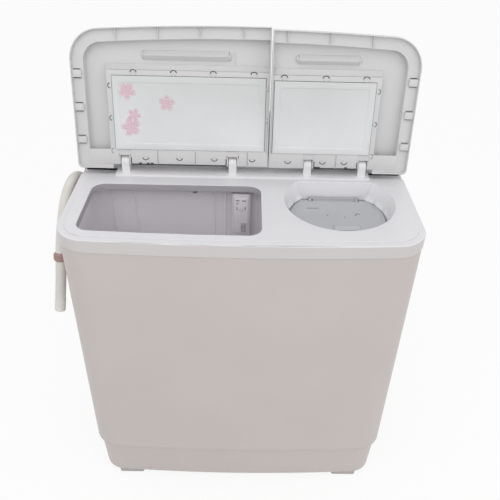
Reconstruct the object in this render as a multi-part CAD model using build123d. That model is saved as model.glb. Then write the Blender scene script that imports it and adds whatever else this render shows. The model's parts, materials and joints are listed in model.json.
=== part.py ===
from build123d import *
import math
import os

os.makedirs("parts", exist_ok=True)

# Driving dimensions of the whole machine, in millimetres
WIDTH = 740.0
DEPTH = 410.0
RIM_TOP = 770.0
FOOT_HEIGHT = 20.0
FRONT_BOW = 13.3
FRONT_CORNER = 66.5
REAR_CORNER = 24.0

# Walls and general clearances
WALL = 2.5
SHEET = 1.5
SEAT_GAP = 0.3
RUNNING_GAP = 0.05
PIN_GAP = 0.02

# Base tray and cabinet
PLINTH_TOP = 140.0
PLINTH_STEP = 7.0
BASE_TAPER = 6.0
BASE_FLOOR = 4.0
BASE_EDGE = 5.0
CABINET_TAPER = 3.0
BAND_HEIGHT = 29.0
BAND_OVERHANG = 1.5
REAR_SETBACK = 5.0
COLLAR_HEIGHT = 18.0
COLLAR_WALL = 3.0

# Feet
FOOT_WIDTH = 64.0
FOOT_DEPTH = 42.0
FOOT_X = 284.0
FOOT_FRONT_SETBACK = 33.0
FOOT_REAR_SETBACK = 37.0
FOOT_CORNER = 6.0

# Rear panel, its screws and the cord gland
PANEL_HALF = 290.0
PANEL_BOTTOM = 190.0
PANEL_TOP = 680.0
PANEL_LAP = 14.0
SCREW_RADIUS = 1.7
SCREW_HEAD = 4.0
GLAND_X = 230.0
GLAND_Z = 230.0
GLAND_RADIUS = 9.0
GLAND_BORE = 4.5
GLAND_LIP = 1.5
VENT_LENGTH = 120.0
VENT_WIDTH = 5.0
VENT_ROWS = 6
VENT_X = 170.0
VENT_Z = 420.0
VENT_PITCH = 14.0

# Deck
LEDGE = 14.0
DECK_RISE = 2.5
PLATFORM_RISE = 6.0
PLATFORM_HALF = 289.0
PLATFORM_DEPTH = 46.0
CORNER_DROP = 6.0
CORNER_DEPTH = 32.0
SERVICE_HALF = 320.0
SERVICE_GAP = 16.0
SERVICE_SETBACK = 17.0
RIM_ROUND = 3.0
LIP_WALL = 2.0
LIP_DROP = 12.0
PLATFORM_ROUND = 3.0
OPENING_LIP = 12.0

# Wash opening and wash tub
WASH_LEFT = -330.0
WASH_RIGHT = 40.0
WASH_FRONT_LAND = 33.5
WASH_REAR = 26.0
WASH_CORNER = 28.0
TUB_LEFT = -345.0
TUB_RIGHT = 45.0
TUB_FRONT = -178.0
TUB_REAR = 60.0
TUB_CORNER = 38.0
TUB_FLOOR_Z = 300.0
TUB_FLANGE = 7.0
TUB_BOTTOM_EDGE = 30.0
TUB_BACK_RIBS = (-300.0, -246.0, -66.0, -40.0)
TUB_SIDE_RIB_PITCH = 14.0
TUB_RIB = 3.0
TUB_DRAIN_X = -10.0
TUB_DRAIN_Y = 5.0
TUB_DRAIN_RADIUS = 20.0
FILTER_LEFT = -24.0
FILTER_RIGHT = 18.0
FILTER_FRONT_Y = 32.0
FILTER_BOTTOM = 600.0
FILTER_TOP = 748.0
FILTER_ROUND = 4.0
FILTER_SLOTS = 4
FILTER_SLOT_PITCH = 8.0
FILTER_SLOT_HALF = 13.0
FILTER_FRAME = 5.0
FILTER_RUNG_PITCH = 12.0

# Spin opening, safety cover and spin tub
SPIN_X = 208.6
SPIN_Y = -29.4
SPIN_OPENING = 118.5
FUNNEL_FOOT = 110.0
FUNNEL_DEPTH = 46.0
SPIN_REAR_Y = 54.0
COVER_RADIUS = 104.0
COVER_THICK = 2.5
COVER_REAR_Y = 44.0
COVER_HINGE_Y = 48.0
COVER_PIN = 2.5
COVER_HINGE_Z = 731.0
COVER_BARREL = 4.0
COVER_TAB = (196.0, 252.0, -95.0, -62.0)
COVER_TAB_RISE = 3.0
COVER_SLOT_ROUND = 3.6
COVER_SLOTS = ((142.0, 175.0, 2.0, 14.0), (246.0, 256.0, -12.0, -2.0), (270.0, 290.0, 18.0, 26.0))
EAR_WIDTH = 8.0
EAR_X = 53.0
EAR_NOTCH = 5.0
LEDGE_REAR_Y = 40.0
LEDGE_RING = 98.0
OUTER_TUB = 124.0
OUTER_TUB_EDGE = 12.0
SPIN_FLOOR_Z = 360.0
BASKET_RADIUS = 106.0
BASKET_MOUTH = 92.0
BASKET_BOTTOM_Z = 385.0
BASKET_TOP_Z = 714.0
BASKET_WALL = 1.5
BASKET_EDGE = 10.0
BASKET_HUB = 20.0
BASKET_HUB_HEIGHT = 22.0
HOLE_RADIUS = 2.5
HOLE_ROWS = 8
HOLE_COLUMNS = 18

# Hinges and lids
HINGE_SETBACK = 116.0
HINGE_RISE = 27.0
POST_WIDTH = 18.0
POST_RADIUS = 15.0
POST_GAP = 1.5
PIN_RADIUS = 4.0
KNUCKLE_RADIUS = 9.0
KNUCKLE_WIDTH = 14.0
KNUCKLE_GAP = 1.0
WASH_POSTS = (-266.0, -24.0)
SPIN_POSTS = (146.0, 270.0)
WASH_LID_OPEN = 103.3
SPIN_LID_OPEN = 97.8
LID_INSET = 1.0
LID_DIVIDE = 56.0
LID_DIVIDE_GAP = 2.0
LID_SKIRT = 12.0
LID_SEAT = 0.5
LID_HEIGHT = 30.0
SHOULDER = 24.0
LID_REAR = 12.0
LID_REAR_MIDDLE = 4.0
LID_REAR_CORNER = 12.0
LID_WALL_TRIM = 2.5
HANDLE_DEPTH = 15.0
HANDLE_CORNER = 6.0
RIB = 2.0
RIB_HEIGHT = 6.0
PLATE_THICK = 2.0
PLATE_CORNER = 6.0
PANE_THICK = 2.5
FRAME_WIDTH = 12.0
FRAME_INNER = 5.0
PANE_LAP = 4.0
WASH_WINDOW = (-284.0, 46.0, -100.0, 58.0)
SPIN_WINDOW = (64.0, 280.0, -100.0, 58.0)
WASH_HANDLE = (-219.0, -30.0, -154.0, -127.0)
SPIN_HANDLE = (110.0, 244.0, -154.0, -130.0)
WASH_RIBS = (-270.0, -182.0, -94.0, -3.0)
SPIN_RIBS = (87.0, 175.0, 263.0)
BUMPER_HALF = 10.0
BUMPER_NEAR = 17.0
BUMPER_FAR = 27.0
BUMPER_REACH = 20.0
WASH_BUMPERS = (-200.0, -90.0)
SPIN_BUMPERS = (186.0, 232.0)

# Console and its controls
CONSOLE_DEPTH = 99.0
CONSOLE_LIP = 58.0
CONSOLE_TOP_DEPTH = 23.0
CONSOLE_HEIGHT = 108.0
CONSOLE_INSET = 3.0
CONSOLE_ROUND = 6.0
KNOB_RADIUS = 23.0
KNOB_HEIGHT = 20.0
KNOB_SHAFT = 3.0
KNOB_BUSH = 6.0
KNOB_SKIRT = 5.0
KNOB_FLUTES = 12
KNOB_FLUTE = 2.0
KNOB_RIB = 4.0
GRIP_FOOT = 19.0
GRIP_TOP = 17.0
FLUTE_REACH = 20.0
RIB_REACH = 21.0
KNOB_DEPTH = 18.0
WASH_TIMER_X = -270.0
FILL_SELECTOR_X = -110.0
DRAIN_SELECTOR_X = 80.0
SPIN_TIMER_X = 240.0
TIMER_SIZE = 48.0
TIMER_HEIGHT = 20.0
TIMER_TAB = 2.0
CRANK_ARM = 20.0
CRANK_DROP = 24.0
CRANK_THICK = 4.0
CRANK_TIP = 5.0
INLET_SETBACK = 14.5
INLET_RADIUS = 7.0
INLET_TAIL = 20.0
INLET_COLLAR = 3.0
INLET_CROSS_Z = 826.0
SPOUT_SETBACK = 47.0
SPOUT_RADIUS = 8.0
SPOUT_WALL = 2.0
FILL_SPOUT_Z = 740.0
STEM_TOP_Z = 312.0
ROD_TOP_Z = 822.0
ROD_RADIUS = 2.0
HOOK_REACH = 5.0

# Wash drive
PULSATOR_X = -150.0
PULSATOR_Y = -60.0
PULSATOR_RADIUS = 102.0
PULSATOR_HEIGHT = 44.0
PULSATOR_GAP = 4.5
PULSATOR_EDGE = 5.0
PULSATOR_HUB = 22.0
PULSATOR_VANES = 6
SHAFT_TOP_Z = 320.0
SCREW_DEPTH = 15.0
SCREW_WELL = 13.2
SCREW_WASHER = 7.2
GEARBOX_NECK = 18.0
SEAL_RADIUS = 24.0
SEAL_LIP = 4.0
PULSATOR_SHAFT = 7.0
INPUT_SHAFT = 8.0
MOTOR_SHAFT = 5.0
GEARBOX_RADIUS = 48.0
GEARBOX_HEIGHT = 54.0
BRACKET_DROP = 10.0
BRACKET_THICK = 3.0
BRACKET_LEFT = -340.0
BRACKET_RIGHT = -80.0
BRACKET_FRONT = -118.0
BRACKET_REAR = 96.0
BRACKET_LIP = 16.0
BOSS_PLACES = ((-310.0, -90.0), (-100.0, -104.0), (-95.0, 30.0), (-215.0, 25.0))
BOSS_RADIUS = 8.0
BOLT_RADIUS = 3.0
CAPACITOR_X = -40.0
CAPACITOR_SETBACK = 85.0
CAPACITOR_RADIUS = 21.0
CAPACITOR_HEIGHT = 80.0
CLIP_HEIGHT = 25.0
TERMINAL_X = 7.0
TAB_THICK = 2.0
TAB_WIDTH = 6.0
TAB_HEIGHT = 7.0
PULLEY_RADIUS = 75.0
PULLEY_HEIGHT = 16.0
PULLEY_WINDOWS = 5
PULLEY_WINDOW = 15.0
PULLEY_WINDOW_REACH = 42.0
MOTOR_PULLEY_RADIUS = 22.0
WASH_MOTOR_X = -285.0
WASH_MOTOR_Y = 40.0
WASH_MOTOR_RADIUS = 50.0
MOTOR_SLOTS = 12
SLOT_DEPTH = 3.0
SLOT_WIDTH = 5.0
BELT_WIDTH = 9.0
BELT_THICK = 5.0

# Spin drive
SPIN_SHAFT = 6.0
BELLOWS_BORE = 22.0
BELLOWS_HEIGHT = 27.5
BEARING_RADIUS = 13.7
BEARING_HEIGHT = 20.0
BRAKE_HUB = 14.0
BRAKE_HOLE = 8.8
BRAKE_HOLE_REACH = 34.1
LEVER_X = 268.6
LEVER_Y = -57.4
LEVER_HUB = 9.0
LEVER_BAR = 8.0
LEVER_REACH = 39.4
LEVER_PIN = 4.0
MOTOR_BORE = 40.0
MOTOR_CAP_RADIUS = 72.0
BRAKE_RADIUS = 55.0
BRAKE_Z = 305.0
BRAKE_THICK = 8.0
SPIN_MOTOR_RADIUS = 58.0
SPIN_MOTOR_TOP = 280.0
SPIN_MOTOR_BOTTOM = 158.0
MOTOR_PLATE_RADIUS = 92.0
CUSHION_CIRCLE = 76.0
CUSHION_HEIGHT = 40.0
CUSHION_BOSS = 16.0
CUSHION_WAIST = 11.0
CUSHION_RING = 8.0

# Drain
VALVE_X = 60.0
VALVE_SETBACK = 47.0
VALVE_SIZE = 56.0
VALVE_BOTTOM_Z = 226.0
VALVE_HEIGHT = 70.0
VALVE_SEAT_Z = 258.0
VALVE_PORT_Z = 277.0
VALVE_OUTLET_Z = 243.0
SPIN_DRAIN_X = 135.0
SPIN_DRAIN_Y = 40.0
STEM_RADIUS = 3.0
PLUG_RADIUS = 15.0
PLUG_HEIGHT = 7.0
SEAT_BORE = 12.0
OUTLET_BORE = 11.0
PLUG_TRAVEL = 12.0
PIPE_RADIUS = 13.0
HOSE_RADIUS = 12.0
ELBOW_OUT = 16.0
ELBOW_SETBACK = 45.0
ELBOW_Z = 104.0
ELBOW_IN = 29.7
ELBOW_BEND = 22.0
HOSE_WALL = 2.5
BEND_SHARE = 0.45
CLIP_BAND = 12.0
CLIP_WALL = 3.5
CLIP_TONGUE = 9.0
LEAD_RADIUS = 4.0
HOSE_PATH = ((16.0, 160.0, 150.0), (16.0, 160.0, 250.0), (20.0, 186.0, 400.0), (16.0, 192.0, 542.0),
             (16.0, 192.0, 650.0), (18.0, 118.0, 733.0), (19.0, 12.0, 748.0), (20.0, -73.0, 692.0),
             (27.0, -101.0, 598.0), (37.0, -117.0, 526.0))

# Values worked out from the ones above
HALF = WIDTH / 2
FRONT_Y = -DEPTH / 2
REAR_Y = DEPTH / 2
FOOT_FRONT_Y = FRONT_Y + FOOT_FRONT_SETBACK
FOOT_REAR_Y = REAR_Y - FOOT_REAR_SETBACK
CONSOLE_FRONT_Y = REAR_Y - CONSOLE_DEPTH
CONSOLE_BACK_Y = REAR_Y - CONSOLE_TOP_DEPTH
CORNER_FRONT_Y = CONSOLE_FRONT_Y - CORNER_DEPTH
PLATFORM_FRONT_Y = CONSOLE_FRONT_Y - PLATFORM_DEPTH
SERVICE_FRONT_Y = CONSOLE_FRONT_Y + SERVICE_GAP
SERVICE_REAR_Y = REAR_Y - SERVICE_SETBACK
HINGE_Y = REAR_Y - HINGE_SETBACK
INLET_Y = REAR_Y - INLET_SETBACK
SPOUT_Y = REAR_Y - SPOUT_SETBACK
CAPACITOR_Y = REAR_Y - CAPACITOR_SETBACK
VALVE_Y = REAR_Y - VALVE_SETBACK
ELBOW_X = -HALF - ELBOW_OUT
ELBOW_INNER_X = -HALF + ELBOW_IN
ELBOW_Y = REAR_Y - ELBOW_SETBACK
BAND_BOTTOM = RIM_TOP - BAND_HEIGHT
HINGE_Z = RIM_TOP + HINGE_RISE
DECK_TOP = RIM_TOP + DECK_RISE
PLATFORM_TOP = RIM_TOP + PLATFORM_RISE
DECK_UNDER = RIM_TOP - WALL
CABINET_TOP_INSET = BAND_OVERHANG
CABINET_FOOT_INSET = BAND_OVERHANG + CABINET_TAPER
PLINTH_INSET = CABINET_FOOT_INSET + PLINTH_STEP
LID_SHOULDER_Z = RIM_TOP + LID_SKIRT
LID_TOP_Z = RIM_TOP + LID_HEIGHT
LID_PLANE_Z = LID_SHOULDER_Z - WALL
HINGE_AXIS = Axis((0, HINGE_Y, HINGE_Z), (1, 0, 0))
CONSOLE_LIP_Z = RIM_TOP + CONSOLE_LIP
CONSOLE_TOP_Z = RIM_TOP + CONSOLE_HEIGHT
CABINET_REAR = REAR_Y - REAR_SETBACK
CABINET_INNER_REAR = CABINET_REAR - WALL
FUNNEL_FOOT_Z = DECK_TOP - FUNNEL_DEPTH
TUB_UNDER_Z = TUB_FLOOR_Z - WALL
SPIN_UNDER_Z = SPIN_FLOOR_Z - WALL
BRACKET_TOP = TUB_UNDER_Z - BRACKET_DROP
BRACKET_BOTTOM = BRACKET_TOP - BRACKET_THICK
GEARBOX_BOTTOM = BRACKET_BOTTOM - GEARBOX_HEIGHT
PULLEY_TOP = GEARBOX_BOTTOM - BRACKET_THICK
PULLEY_BOTTOM = PULLEY_TOP - PULLEY_HEIGHT
CUSHION_TOP = SPIN_MOTOR_BOTTOM - BRACKET_THICK
CUSHION_FOOT = CUSHION_TOP - CUSHION_HEIGHT
LID_LEFT_END = LID_DIVIDE - LID_DIVIDE_GAP / 2
LID_RIGHT_START = LID_DIVIDE + LID_DIVIDE_GAP / 2
MIDDLE_HALF = PLATFORM_HALF + 3 * KNUCKLE_GAP
SLOPE_ANGLE = math.degrees(math.atan2(CONSOLE_HEIGHT - CONSOLE_LIP, CONSOLE_BACK_Y - CONSOLE_FRONT_Y))
FLANGE_TOP_Z = ELBOW_Z + PIPE_RADIUS + 2 * WALL
FLANGE_DROP = (PLINTH_TOP - FLANGE_TOP_Z) / (PLINTH_TOP - FOOT_HEIGHT)
ELBOW_FLANGE_X = PLINTH_INSET + BASE_TAPER * FLANGE_DROP - HALF - SEAT_GAP
HOSE_ROUTE = tuple((-HALF - out, y, z) for out, y, z in HOSE_PATH)
DRAIN_ROUTE = ((VALVE_X - VALVE_SIZE / 2, VALVE_Y, VALVE_OUTLET_Z), (-60.0, VALVE_Y, VALVE_OUTLET_Z),
               (-170.0, ELBOW_Y, 195.0), (-260.0, ELBOW_Y, ELBOW_Z),
               (ELBOW_INNER_X + SEAT_GAP, ELBOW_Y, ELBOW_Z))
SPIN_LEAD = ((240.0, REAR_Y - 48.4, 833.9), (240.0, REAR_Y - 27.0, 801.0), (258.0, REAR_Y - 23.0, 730.0),
             (266.0, REAR_Y - 21.0, 560.0), (262.0, REAR_Y - 25.0, 400.0), (250.0, 140.0, 290.0),
             (232.0, 84.0, 232.0), (220.4, 28.2, 228.0))
WASH_LEAD = ((-270.0, REAR_Y - 48.4, 833.9), (-270.0, REAR_Y - 27.0, 801.0), (-286.0, REAR_Y - 23.0, 730.0),
             (-290.0, REAR_Y - 21.0, 560.0), (-292.0, REAR_Y - 25.0, 410.0), (-296.0, 160.0, 310.0),
             (-290.0, 128.0, 254.0), (-285.0, 90.9, 244.0))


def block(x0, x1, y0, y1, z0, z1):
    """A box between two corners."""
    return Pos((x0 + x1) / 2, (y0 + y1) / 2, (z0 + z1) / 2) * Box(x1 - x0, y1 - y0, z1 - z0)


def rod(x, y, z0, z1, radius):
    """An upright cylinder from z0 to z1."""
    return Pos(x, y, (z0 + z1) / 2) * Cylinder(radius, z1 - z0)


def cross_rod(x0, x1, y, z, radius):
    """A cylinder along X."""
    return Pos((x0 + x1) / 2, y, z) * Rot(0, 90, 0) * Cylinder(radius, x1 - x0)


def rounded_block(x0, x1, y0, y1, z0, z1, radius):
    """An upright prism with rounded corners."""
    sheet = Pos((x0 + x1) / 2, (y0 + y1) / 2, z0) * RectangleRounded(x1 - x0, y1 - y0, radius)
    return extrude(sheet, z1 - z0)


def outline(inset, rear_y=None, rear_corner=REAR_CORNER):
    """The machine's plan at a given inset: bowed front, rounded corners, flat rear."""
    half = HALF - inset
    corner_y = FRONT_Y + FRONT_BOW + inset
    rear = REAR_Y - inset if rear_y is None else rear_y
    left = Line((-half, rear), (-half, corner_y))
    front = ThreePointArc((-half, corner_y), (0, FRONT_Y + inset), (half, corner_y))
    right = Line((half, corner_y), (half, rear))
    back = Line((half, rear), (-half, rear))
    face = make_face(left + front + right + back)
    by_depth = face.vertices().sort_by(Axis.Y)
    face = fillet(by_depth[:2], FRONT_CORNER - inset)
    by_depth = face.vertices().sort_by(Axis.Y)
    return fillet(by_depth[-2:], max(rear_corner - inset, WALL))


def prism(inset, z0, z1, rear_y=None, rear_corner=REAR_CORNER):
    """The plan at one inset, extruded from z0 to z1."""
    return extrude(Pos(0, 0, z0) * outline(inset, rear_y, rear_corner), z1 - z0)


def tapered(inset0, z0, inset1, z1, rear_y=None):
    """The plan lofted between two insets."""
    return loft([Pos(0, 0, z0) * outline(inset0, rear_y), Pos(0, 0, z1) * outline(inset1, rear_y)])


def front_edge(inset, x):
    """The bowed front's own depth at a place across the width."""
    return FRONT_Y + inset + FRONT_BOW * (x / HALF) ** 2


def save(shape, name):
    """Writes one piece under its own name."""
    shape.label = name
    export_step(shape, "parts/" + name + ".step")


def base_tray():
    """The stepped tray that the machine stands on, with its collar inside the cabinet."""
    foot_inset = PLINTH_INSET + BASE_TAPER
    seat_z = PLINTH_TOP - WALL
    tray = tapered(foot_inset, FOOT_HEIGHT, PLINTH_INSET, seat_z, CABINET_REAR - PLINTH_STEP)
    tray = fillet(tray.edges().group_by(Axis.Z)[0], BASE_EDGE)
    hollow = tapered(foot_inset + WALL, FOOT_HEIGHT + BASE_FLOOR, PLINTH_INSET + WALL, PLINTH_TOP,
                     CABINET_REAR - PLINTH_STEP - WALL)
    seat = prism(CABINET_FOOT_INSET, seat_z, PLINTH_TOP, CABINET_REAR)
    opening = prism(PLINTH_INSET + 2 * WALL, seat_z, PLINTH_TOP + COLLAR_HEIGHT,
                    CABINET_REAR - PLINTH_STEP - 2 * WALL)
    collar_inset = CABINET_FOOT_INSET + WALL + SEAT_GAP
    collar_rear = CABINET_INNER_REAR - SEAT_GAP
    collar = prism(collar_inset, PLINTH_TOP, PLINTH_TOP + COLLAR_HEIGHT, collar_rear)
    collar -= prism(collar_inset + COLLAR_WALL, PLINTH_TOP, PLINTH_TOP + COLLAR_HEIGHT,
                    collar_rear - COLLAR_WALL)
    tray = tray - hollow + (seat - opening) + collar
    for x, y in cushion_places():
        tray += rod(x, y, FOOT_HEIGHT + BASE_FLOOR, CUSHION_FOOT, CUSHION_BOSS)
    clip = rod(CAPACITOR_X, CAPACITOR_Y, FOOT_HEIGHT + BASE_FLOOR, FOOT_HEIGHT + CLIP_HEIGHT,
               CAPACITOR_RADIUS + SEAT_GAP + WALL)
    clip -= rod(CAPACITOR_X, CAPACITOR_Y, FOOT_HEIGHT + BASE_FLOOR, FOOT_HEIGHT + CLIP_HEIGHT,
                CAPACITOR_RADIUS + SEAT_GAP)
    tray += clip
    return tray - cross_rod(-HALF, -HALF / 2, ELBOW_Y, ELBOW_Z, PIPE_RADIUS + SEAT_GAP)


def cushion_places():
    """Three places round the spin motor, evenly spaced."""
    turns = (math.radians(90 + 120 * i) for i in range(3))
    return [(SPIN_X + CUSHION_CIRCLE * math.cos(t), SPIN_Y + CUSHION_CIRCLE * math.sin(t)) for t in turns]


def feet():
    """Four moulded feet under the tray."""
    pads = []
    for side in (-1, 1):
        for front_y in (FOOT_FRONT_Y, FOOT_REAR_Y - FOOT_DEPTH):
            x0 = side * FOOT_X - FOOT_WIDTH / 2
            pad = rounded_block(x0, x0 + FOOT_WIDTH, front_y, front_y + FOOT_DEPTH, 0, FOOT_HEIGHT, FOOT_CORNER)
            pads.append(fillet(pad.edges().group_by(Axis.Z)[0], FOOT_CORNER / 3))
    return Compound(pads)


def screw_places():
    """The rear panel's screws, in X and Z."""
    half = PANEL_HALF + PANEL_LAP / 2
    low = PANEL_BOTTOM - PANEL_LAP / 2
    high = PANEL_TOP + PANEL_LAP / 2
    middle = (low + high) / 2
    return [(x, z) for x in (-half, 0, half) for z in (low, high)] + [(-half, middle), (half, middle)]


def cabinet():
    """The moulded wrap: front, two sides and a rear frame round the service opening."""
    wrap = tapered(CABINET_FOOT_INSET, PLINTH_TOP, CABINET_TOP_INSET, BAND_BOTTOM, CABINET_REAR)
    wrap -= tapered(CABINET_FOOT_INSET + WALL, PLINTH_TOP, CABINET_TOP_INSET + WALL, BAND_BOTTOM,
                    CABINET_INNER_REAR)
    wrap -= block(-PANEL_HALF, PANEL_HALF, CABINET_INNER_REAR - WALL, CABINET_REAR + WALL,
                  PANEL_BOTTOM, PANEL_TOP)
    for x, z in screw_places():
        wrap -= Pos(x, CABINET_REAR, z) * Rot(90, 0, 0) * Cylinder(SCREW_RADIUS + PIN_GAP, 4 * WALL)
    return wrap


def rear_panel():
    """The sheet that closes the rear, with two columns of vents and the cord's hole."""
    panel = block(-PANEL_HALF - PANEL_LAP, PANEL_HALF + PANEL_LAP, CABINET_REAR, CABINET_REAR + SHEET,
                  PANEL_BOTTOM - PANEL_LAP, PANEL_TOP + PANEL_LAP)
    slot = Rot(90, 0, 0) * extrude(SlotOverall(VENT_LENGTH, VENT_WIDTH), 4 * SHEET, both=True)
    for side in (-1, 1):
        for row in range(VENT_ROWS):
            panel -= Pos(side * VENT_X, CABINET_REAR, VENT_Z + row * VENT_PITCH) * slot
    for x, z in screw_places():
        panel -= Pos(x, CABINET_REAR, z) * Rot(90, 0, 0) * Cylinder(SCREW_RADIUS + SEAT_GAP, 4 * WALL)
    return panel - Pos(GLAND_X, CABINET_REAR, GLAND_Z) * Rot(90, 0, 0) * Cylinder(GLAND_RADIUS, 4 * WALL)


def case_screws():
    """The rear panel's screws."""
    screws = []
    face = CABINET_REAR + SHEET
    for x, z in screw_places():
        screw = Pos(x, face + SHEET / 2, z) * Rot(90, 0, 0) * Cylinder(SCREW_HEAD, SHEET)
        middle = Pos(x, (face + CABINET_INNER_REAR) / 2, z)
        screw += middle * Rot(90, 0, 0) * Cylinder(SCREW_RADIUS, face - CABINET_INNER_REAR)
        screws.append(screw)
    return Compound(screws)


def cord_gland():
    """A rubber grommet where the mains lead would pass the rear panel."""
    ring = Cylinder(GLAND_RADIUS - PIN_GAP, SHEET)
    for side in (-1, 1):
        ring += Pos(0, 0, side * (SHEET / 2 + GLAND_LIP / 2)) * Cylinder(GLAND_RADIUS + GLAND_LIP, GLAND_LIP)
    ring -= Cylinder(GLAND_BORE, SHEET + 4 * GLAND_LIP)
    return Pos(GLAND_X, CABINET_REAR + SHEET / 2, GLAND_Z) * Rot(90, 0, 0) * ring


def wash_opening(z0, z1, grow=0.0):
    """The wash opening's own outline, its front bowed as the rim is."""
    left, right = WASH_LEFT - grow, WASH_RIGHT + grow
    middle = (left + right) / 2
    land = WASH_FRONT_LAND - grow
    front = ThreePointArc((left, front_edge(land, left)), (middle, front_edge(land, middle)),
                          (right, front_edge(land, right)))
    rear = WASH_REAR + grow
    sides = Polyline((right, front_edge(land, right)), (right, rear), (left, rear), (left, front_edge(land, left)))
    face = make_face(front + sides)
    face = fillet(face.vertices(), WASH_CORNER + grow)
    return extrude(Pos(0, 0, z0) * face, z1 - z0)


def half_space(y, size=2000.0):
    """All that lies in front of a depth."""
    return block(-size, size, y - size, y, -size, size)


def spin_funnel(z0, z1, top_radius, foot_radius, rear_y):
    """A cone round the spin opening, flat at its rear."""
    cone = loft([Pos(SPIN_X, SPIN_Y, z0) * Circle(foot_radius), Pos(SPIN_X, SPIN_Y, z1) * Circle(top_radius)])
    return cone & half_space(rear_y)


def top_deck():
    """The deck: rim band, ledge, raised middle, hinge platform with posts and the spin funnel."""
    lip_inset = CABINET_TOP_INSET + WALL + SEAT_GAP
    lip_rear = CABINET_INNER_REAR - SEAT_GAP
    deck = prism(0, BAND_BOTTOM, RIM_TOP)
    deck = fillet(deck.edges().group_by(Axis.Z)[-1], RIM_ROUND)
    deck += prism(lip_inset, BAND_BOTTOM - LIP_DROP, BAND_BOTTOM, lip_rear)
    deck -= prism(lip_inset + LIP_WALL, BAND_BOTTOM - LIP_DROP, DECK_UNDER, lip_rear - LIP_WALL)
    deck += prism(LEDGE, RIM_TOP, DECK_TOP) & half_space(CONSOLE_FRONT_Y)
    deck += hinge_platform()
    deck = deck + corner_pockets(CORNER_DROP + WALL, WALL) - corner_pockets(CORNER_DROP, 0)
    deck += spin_funnel(FUNNEL_FOOT_Z - WALL, RIM_TOP, SPIN_OPENING + WALL, FUNNEL_FOOT + WALL,
                        SPIN_REAR_Y + WALL)
    deck -= spin_funnel(FUNNEL_FOOT_Z, DECK_TOP, SPIN_OPENING, FUNNEL_FOOT, SPIN_REAR_Y)
    deck -= rod(SPIN_X, SPIN_Y, FUNNEL_FOOT_Z - WALL, FUNNEL_FOOT_Z, LEDGE_RING) & half_space(LEDGE_REAR_Y)
    deck += cover_ears()
    deck += wash_opening(DECK_UNDER - OPENING_LIP, DECK_UNDER, WALL)
    deck -= wash_opening(DECK_UNDER - OPENING_LIP, DECK_TOP)
    deck -= block(-SERVICE_HALF, SERVICE_HALF, SERVICE_FRONT_Y, SERVICE_REAR_Y, DECK_UNDER, RIM_TOP)
    return deck + hinge_posts()


def hinge_platform():
    """The raised step at the rear of the deck that carries the posts."""
    step = block(-PLATFORM_HALF, PLATFORM_HALF, PLATFORM_FRONT_Y, CONSOLE_FRONT_Y, DECK_UNDER, PLATFORM_TOP)
    front_edge_line = step.edges().filter_by(Axis.X).group_by(Axis.Z)[-1].sort_by(Axis.Y)[0]
    step = fillet(front_edge_line, PLATFORM_ROUND)
    return step - block(-PLATFORM_HALF + WALL, PLATFORM_HALF - WALL, PLATFORM_FRONT_Y + WALL,
                        CONSOLE_FRONT_Y - WALL, DECK_UNDER, PLATFORM_TOP - WALL)


def corner_pockets(drop, grow):
    """The two low corners that the lids' rear corners swing down into."""
    top = PLATFORM_TOP if grow == 0 else RIM_TOP
    plan = prism(0, RIM_TOP - drop, top)
    plan &= block(-HALF, HALF, CORNER_FRONT_Y - grow, CONSOLE_FRONT_Y, RIM_TOP - drop, top)
    inner = PLATFORM_HALF - grow
    return plan - block(-inner, inner, 0, REAR_Y, RIM_TOP - drop, top)


def cover_ears():
    """Two ears at the rear of the funnel for the safety cover's pins."""
    half = EAR_WIDTH / 2
    ears = [block(SPIN_X + side * EAR_X - half, SPIN_X + side * EAR_X + half, COVER_HINGE_Y - half,
                  COVER_HINGE_Y + half, FUNNEL_FOOT_Z, COVER_HINGE_Z + half) for side in (-1, 1)]
    reach = EAR_X + EAR_WIDTH
    bore = cross_rod(SPIN_X - reach, SPIN_X + reach, COVER_HINGE_Y, COVER_HINGE_Z, COVER_PIN + RUNNING_GAP)
    return ears[0] + ears[1] - bore


def hinge_posts():
    """Four round-topped posts, bored for the lids' pins."""
    posts = None
    for x in WASH_POSTS + SPIN_POSTS:
        x0, x1 = x - POST_WIDTH / 2, x + POST_WIDTH / 2
        post = cross_rod(x0, x1, HINGE_Y, HINGE_Z, POST_RADIUS)
        post += block(x0, x1, HINGE_Y - POST_RADIUS, HINGE_Y + POST_RADIUS, PLATFORM_TOP - WALL, HINGE_Z)
        post -= cross_rod(x0, x1, HINGE_Y, HINGE_Z, PIN_RADIUS + RUNNING_GAP)
        posts = post if posts is None else posts + post
    return posts


def lid_blank(x0, x1, inset, rear_y, z0, z1):
    """A slab of the lids' common plan between two places across the width."""
    return prism(inset, z0, z1, rear_y, LID_REAR_CORNER) & block(x0, x1, -DEPTH, DEPTH, z0, z1)


def ring_block(window, outer, inner, z0, z1):
    """A frame round a window: outer and inner are distances out from its edges."""
    x0, x1, y0, y1 = window
    ring = block(x0 - outer, x1 + outer, y0 - outer, y1 + outer, z0, z1)
    return ring - block(x0 - inner, x1 + inner, y0 - inner, y1 + inner, z0, z1)


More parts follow.
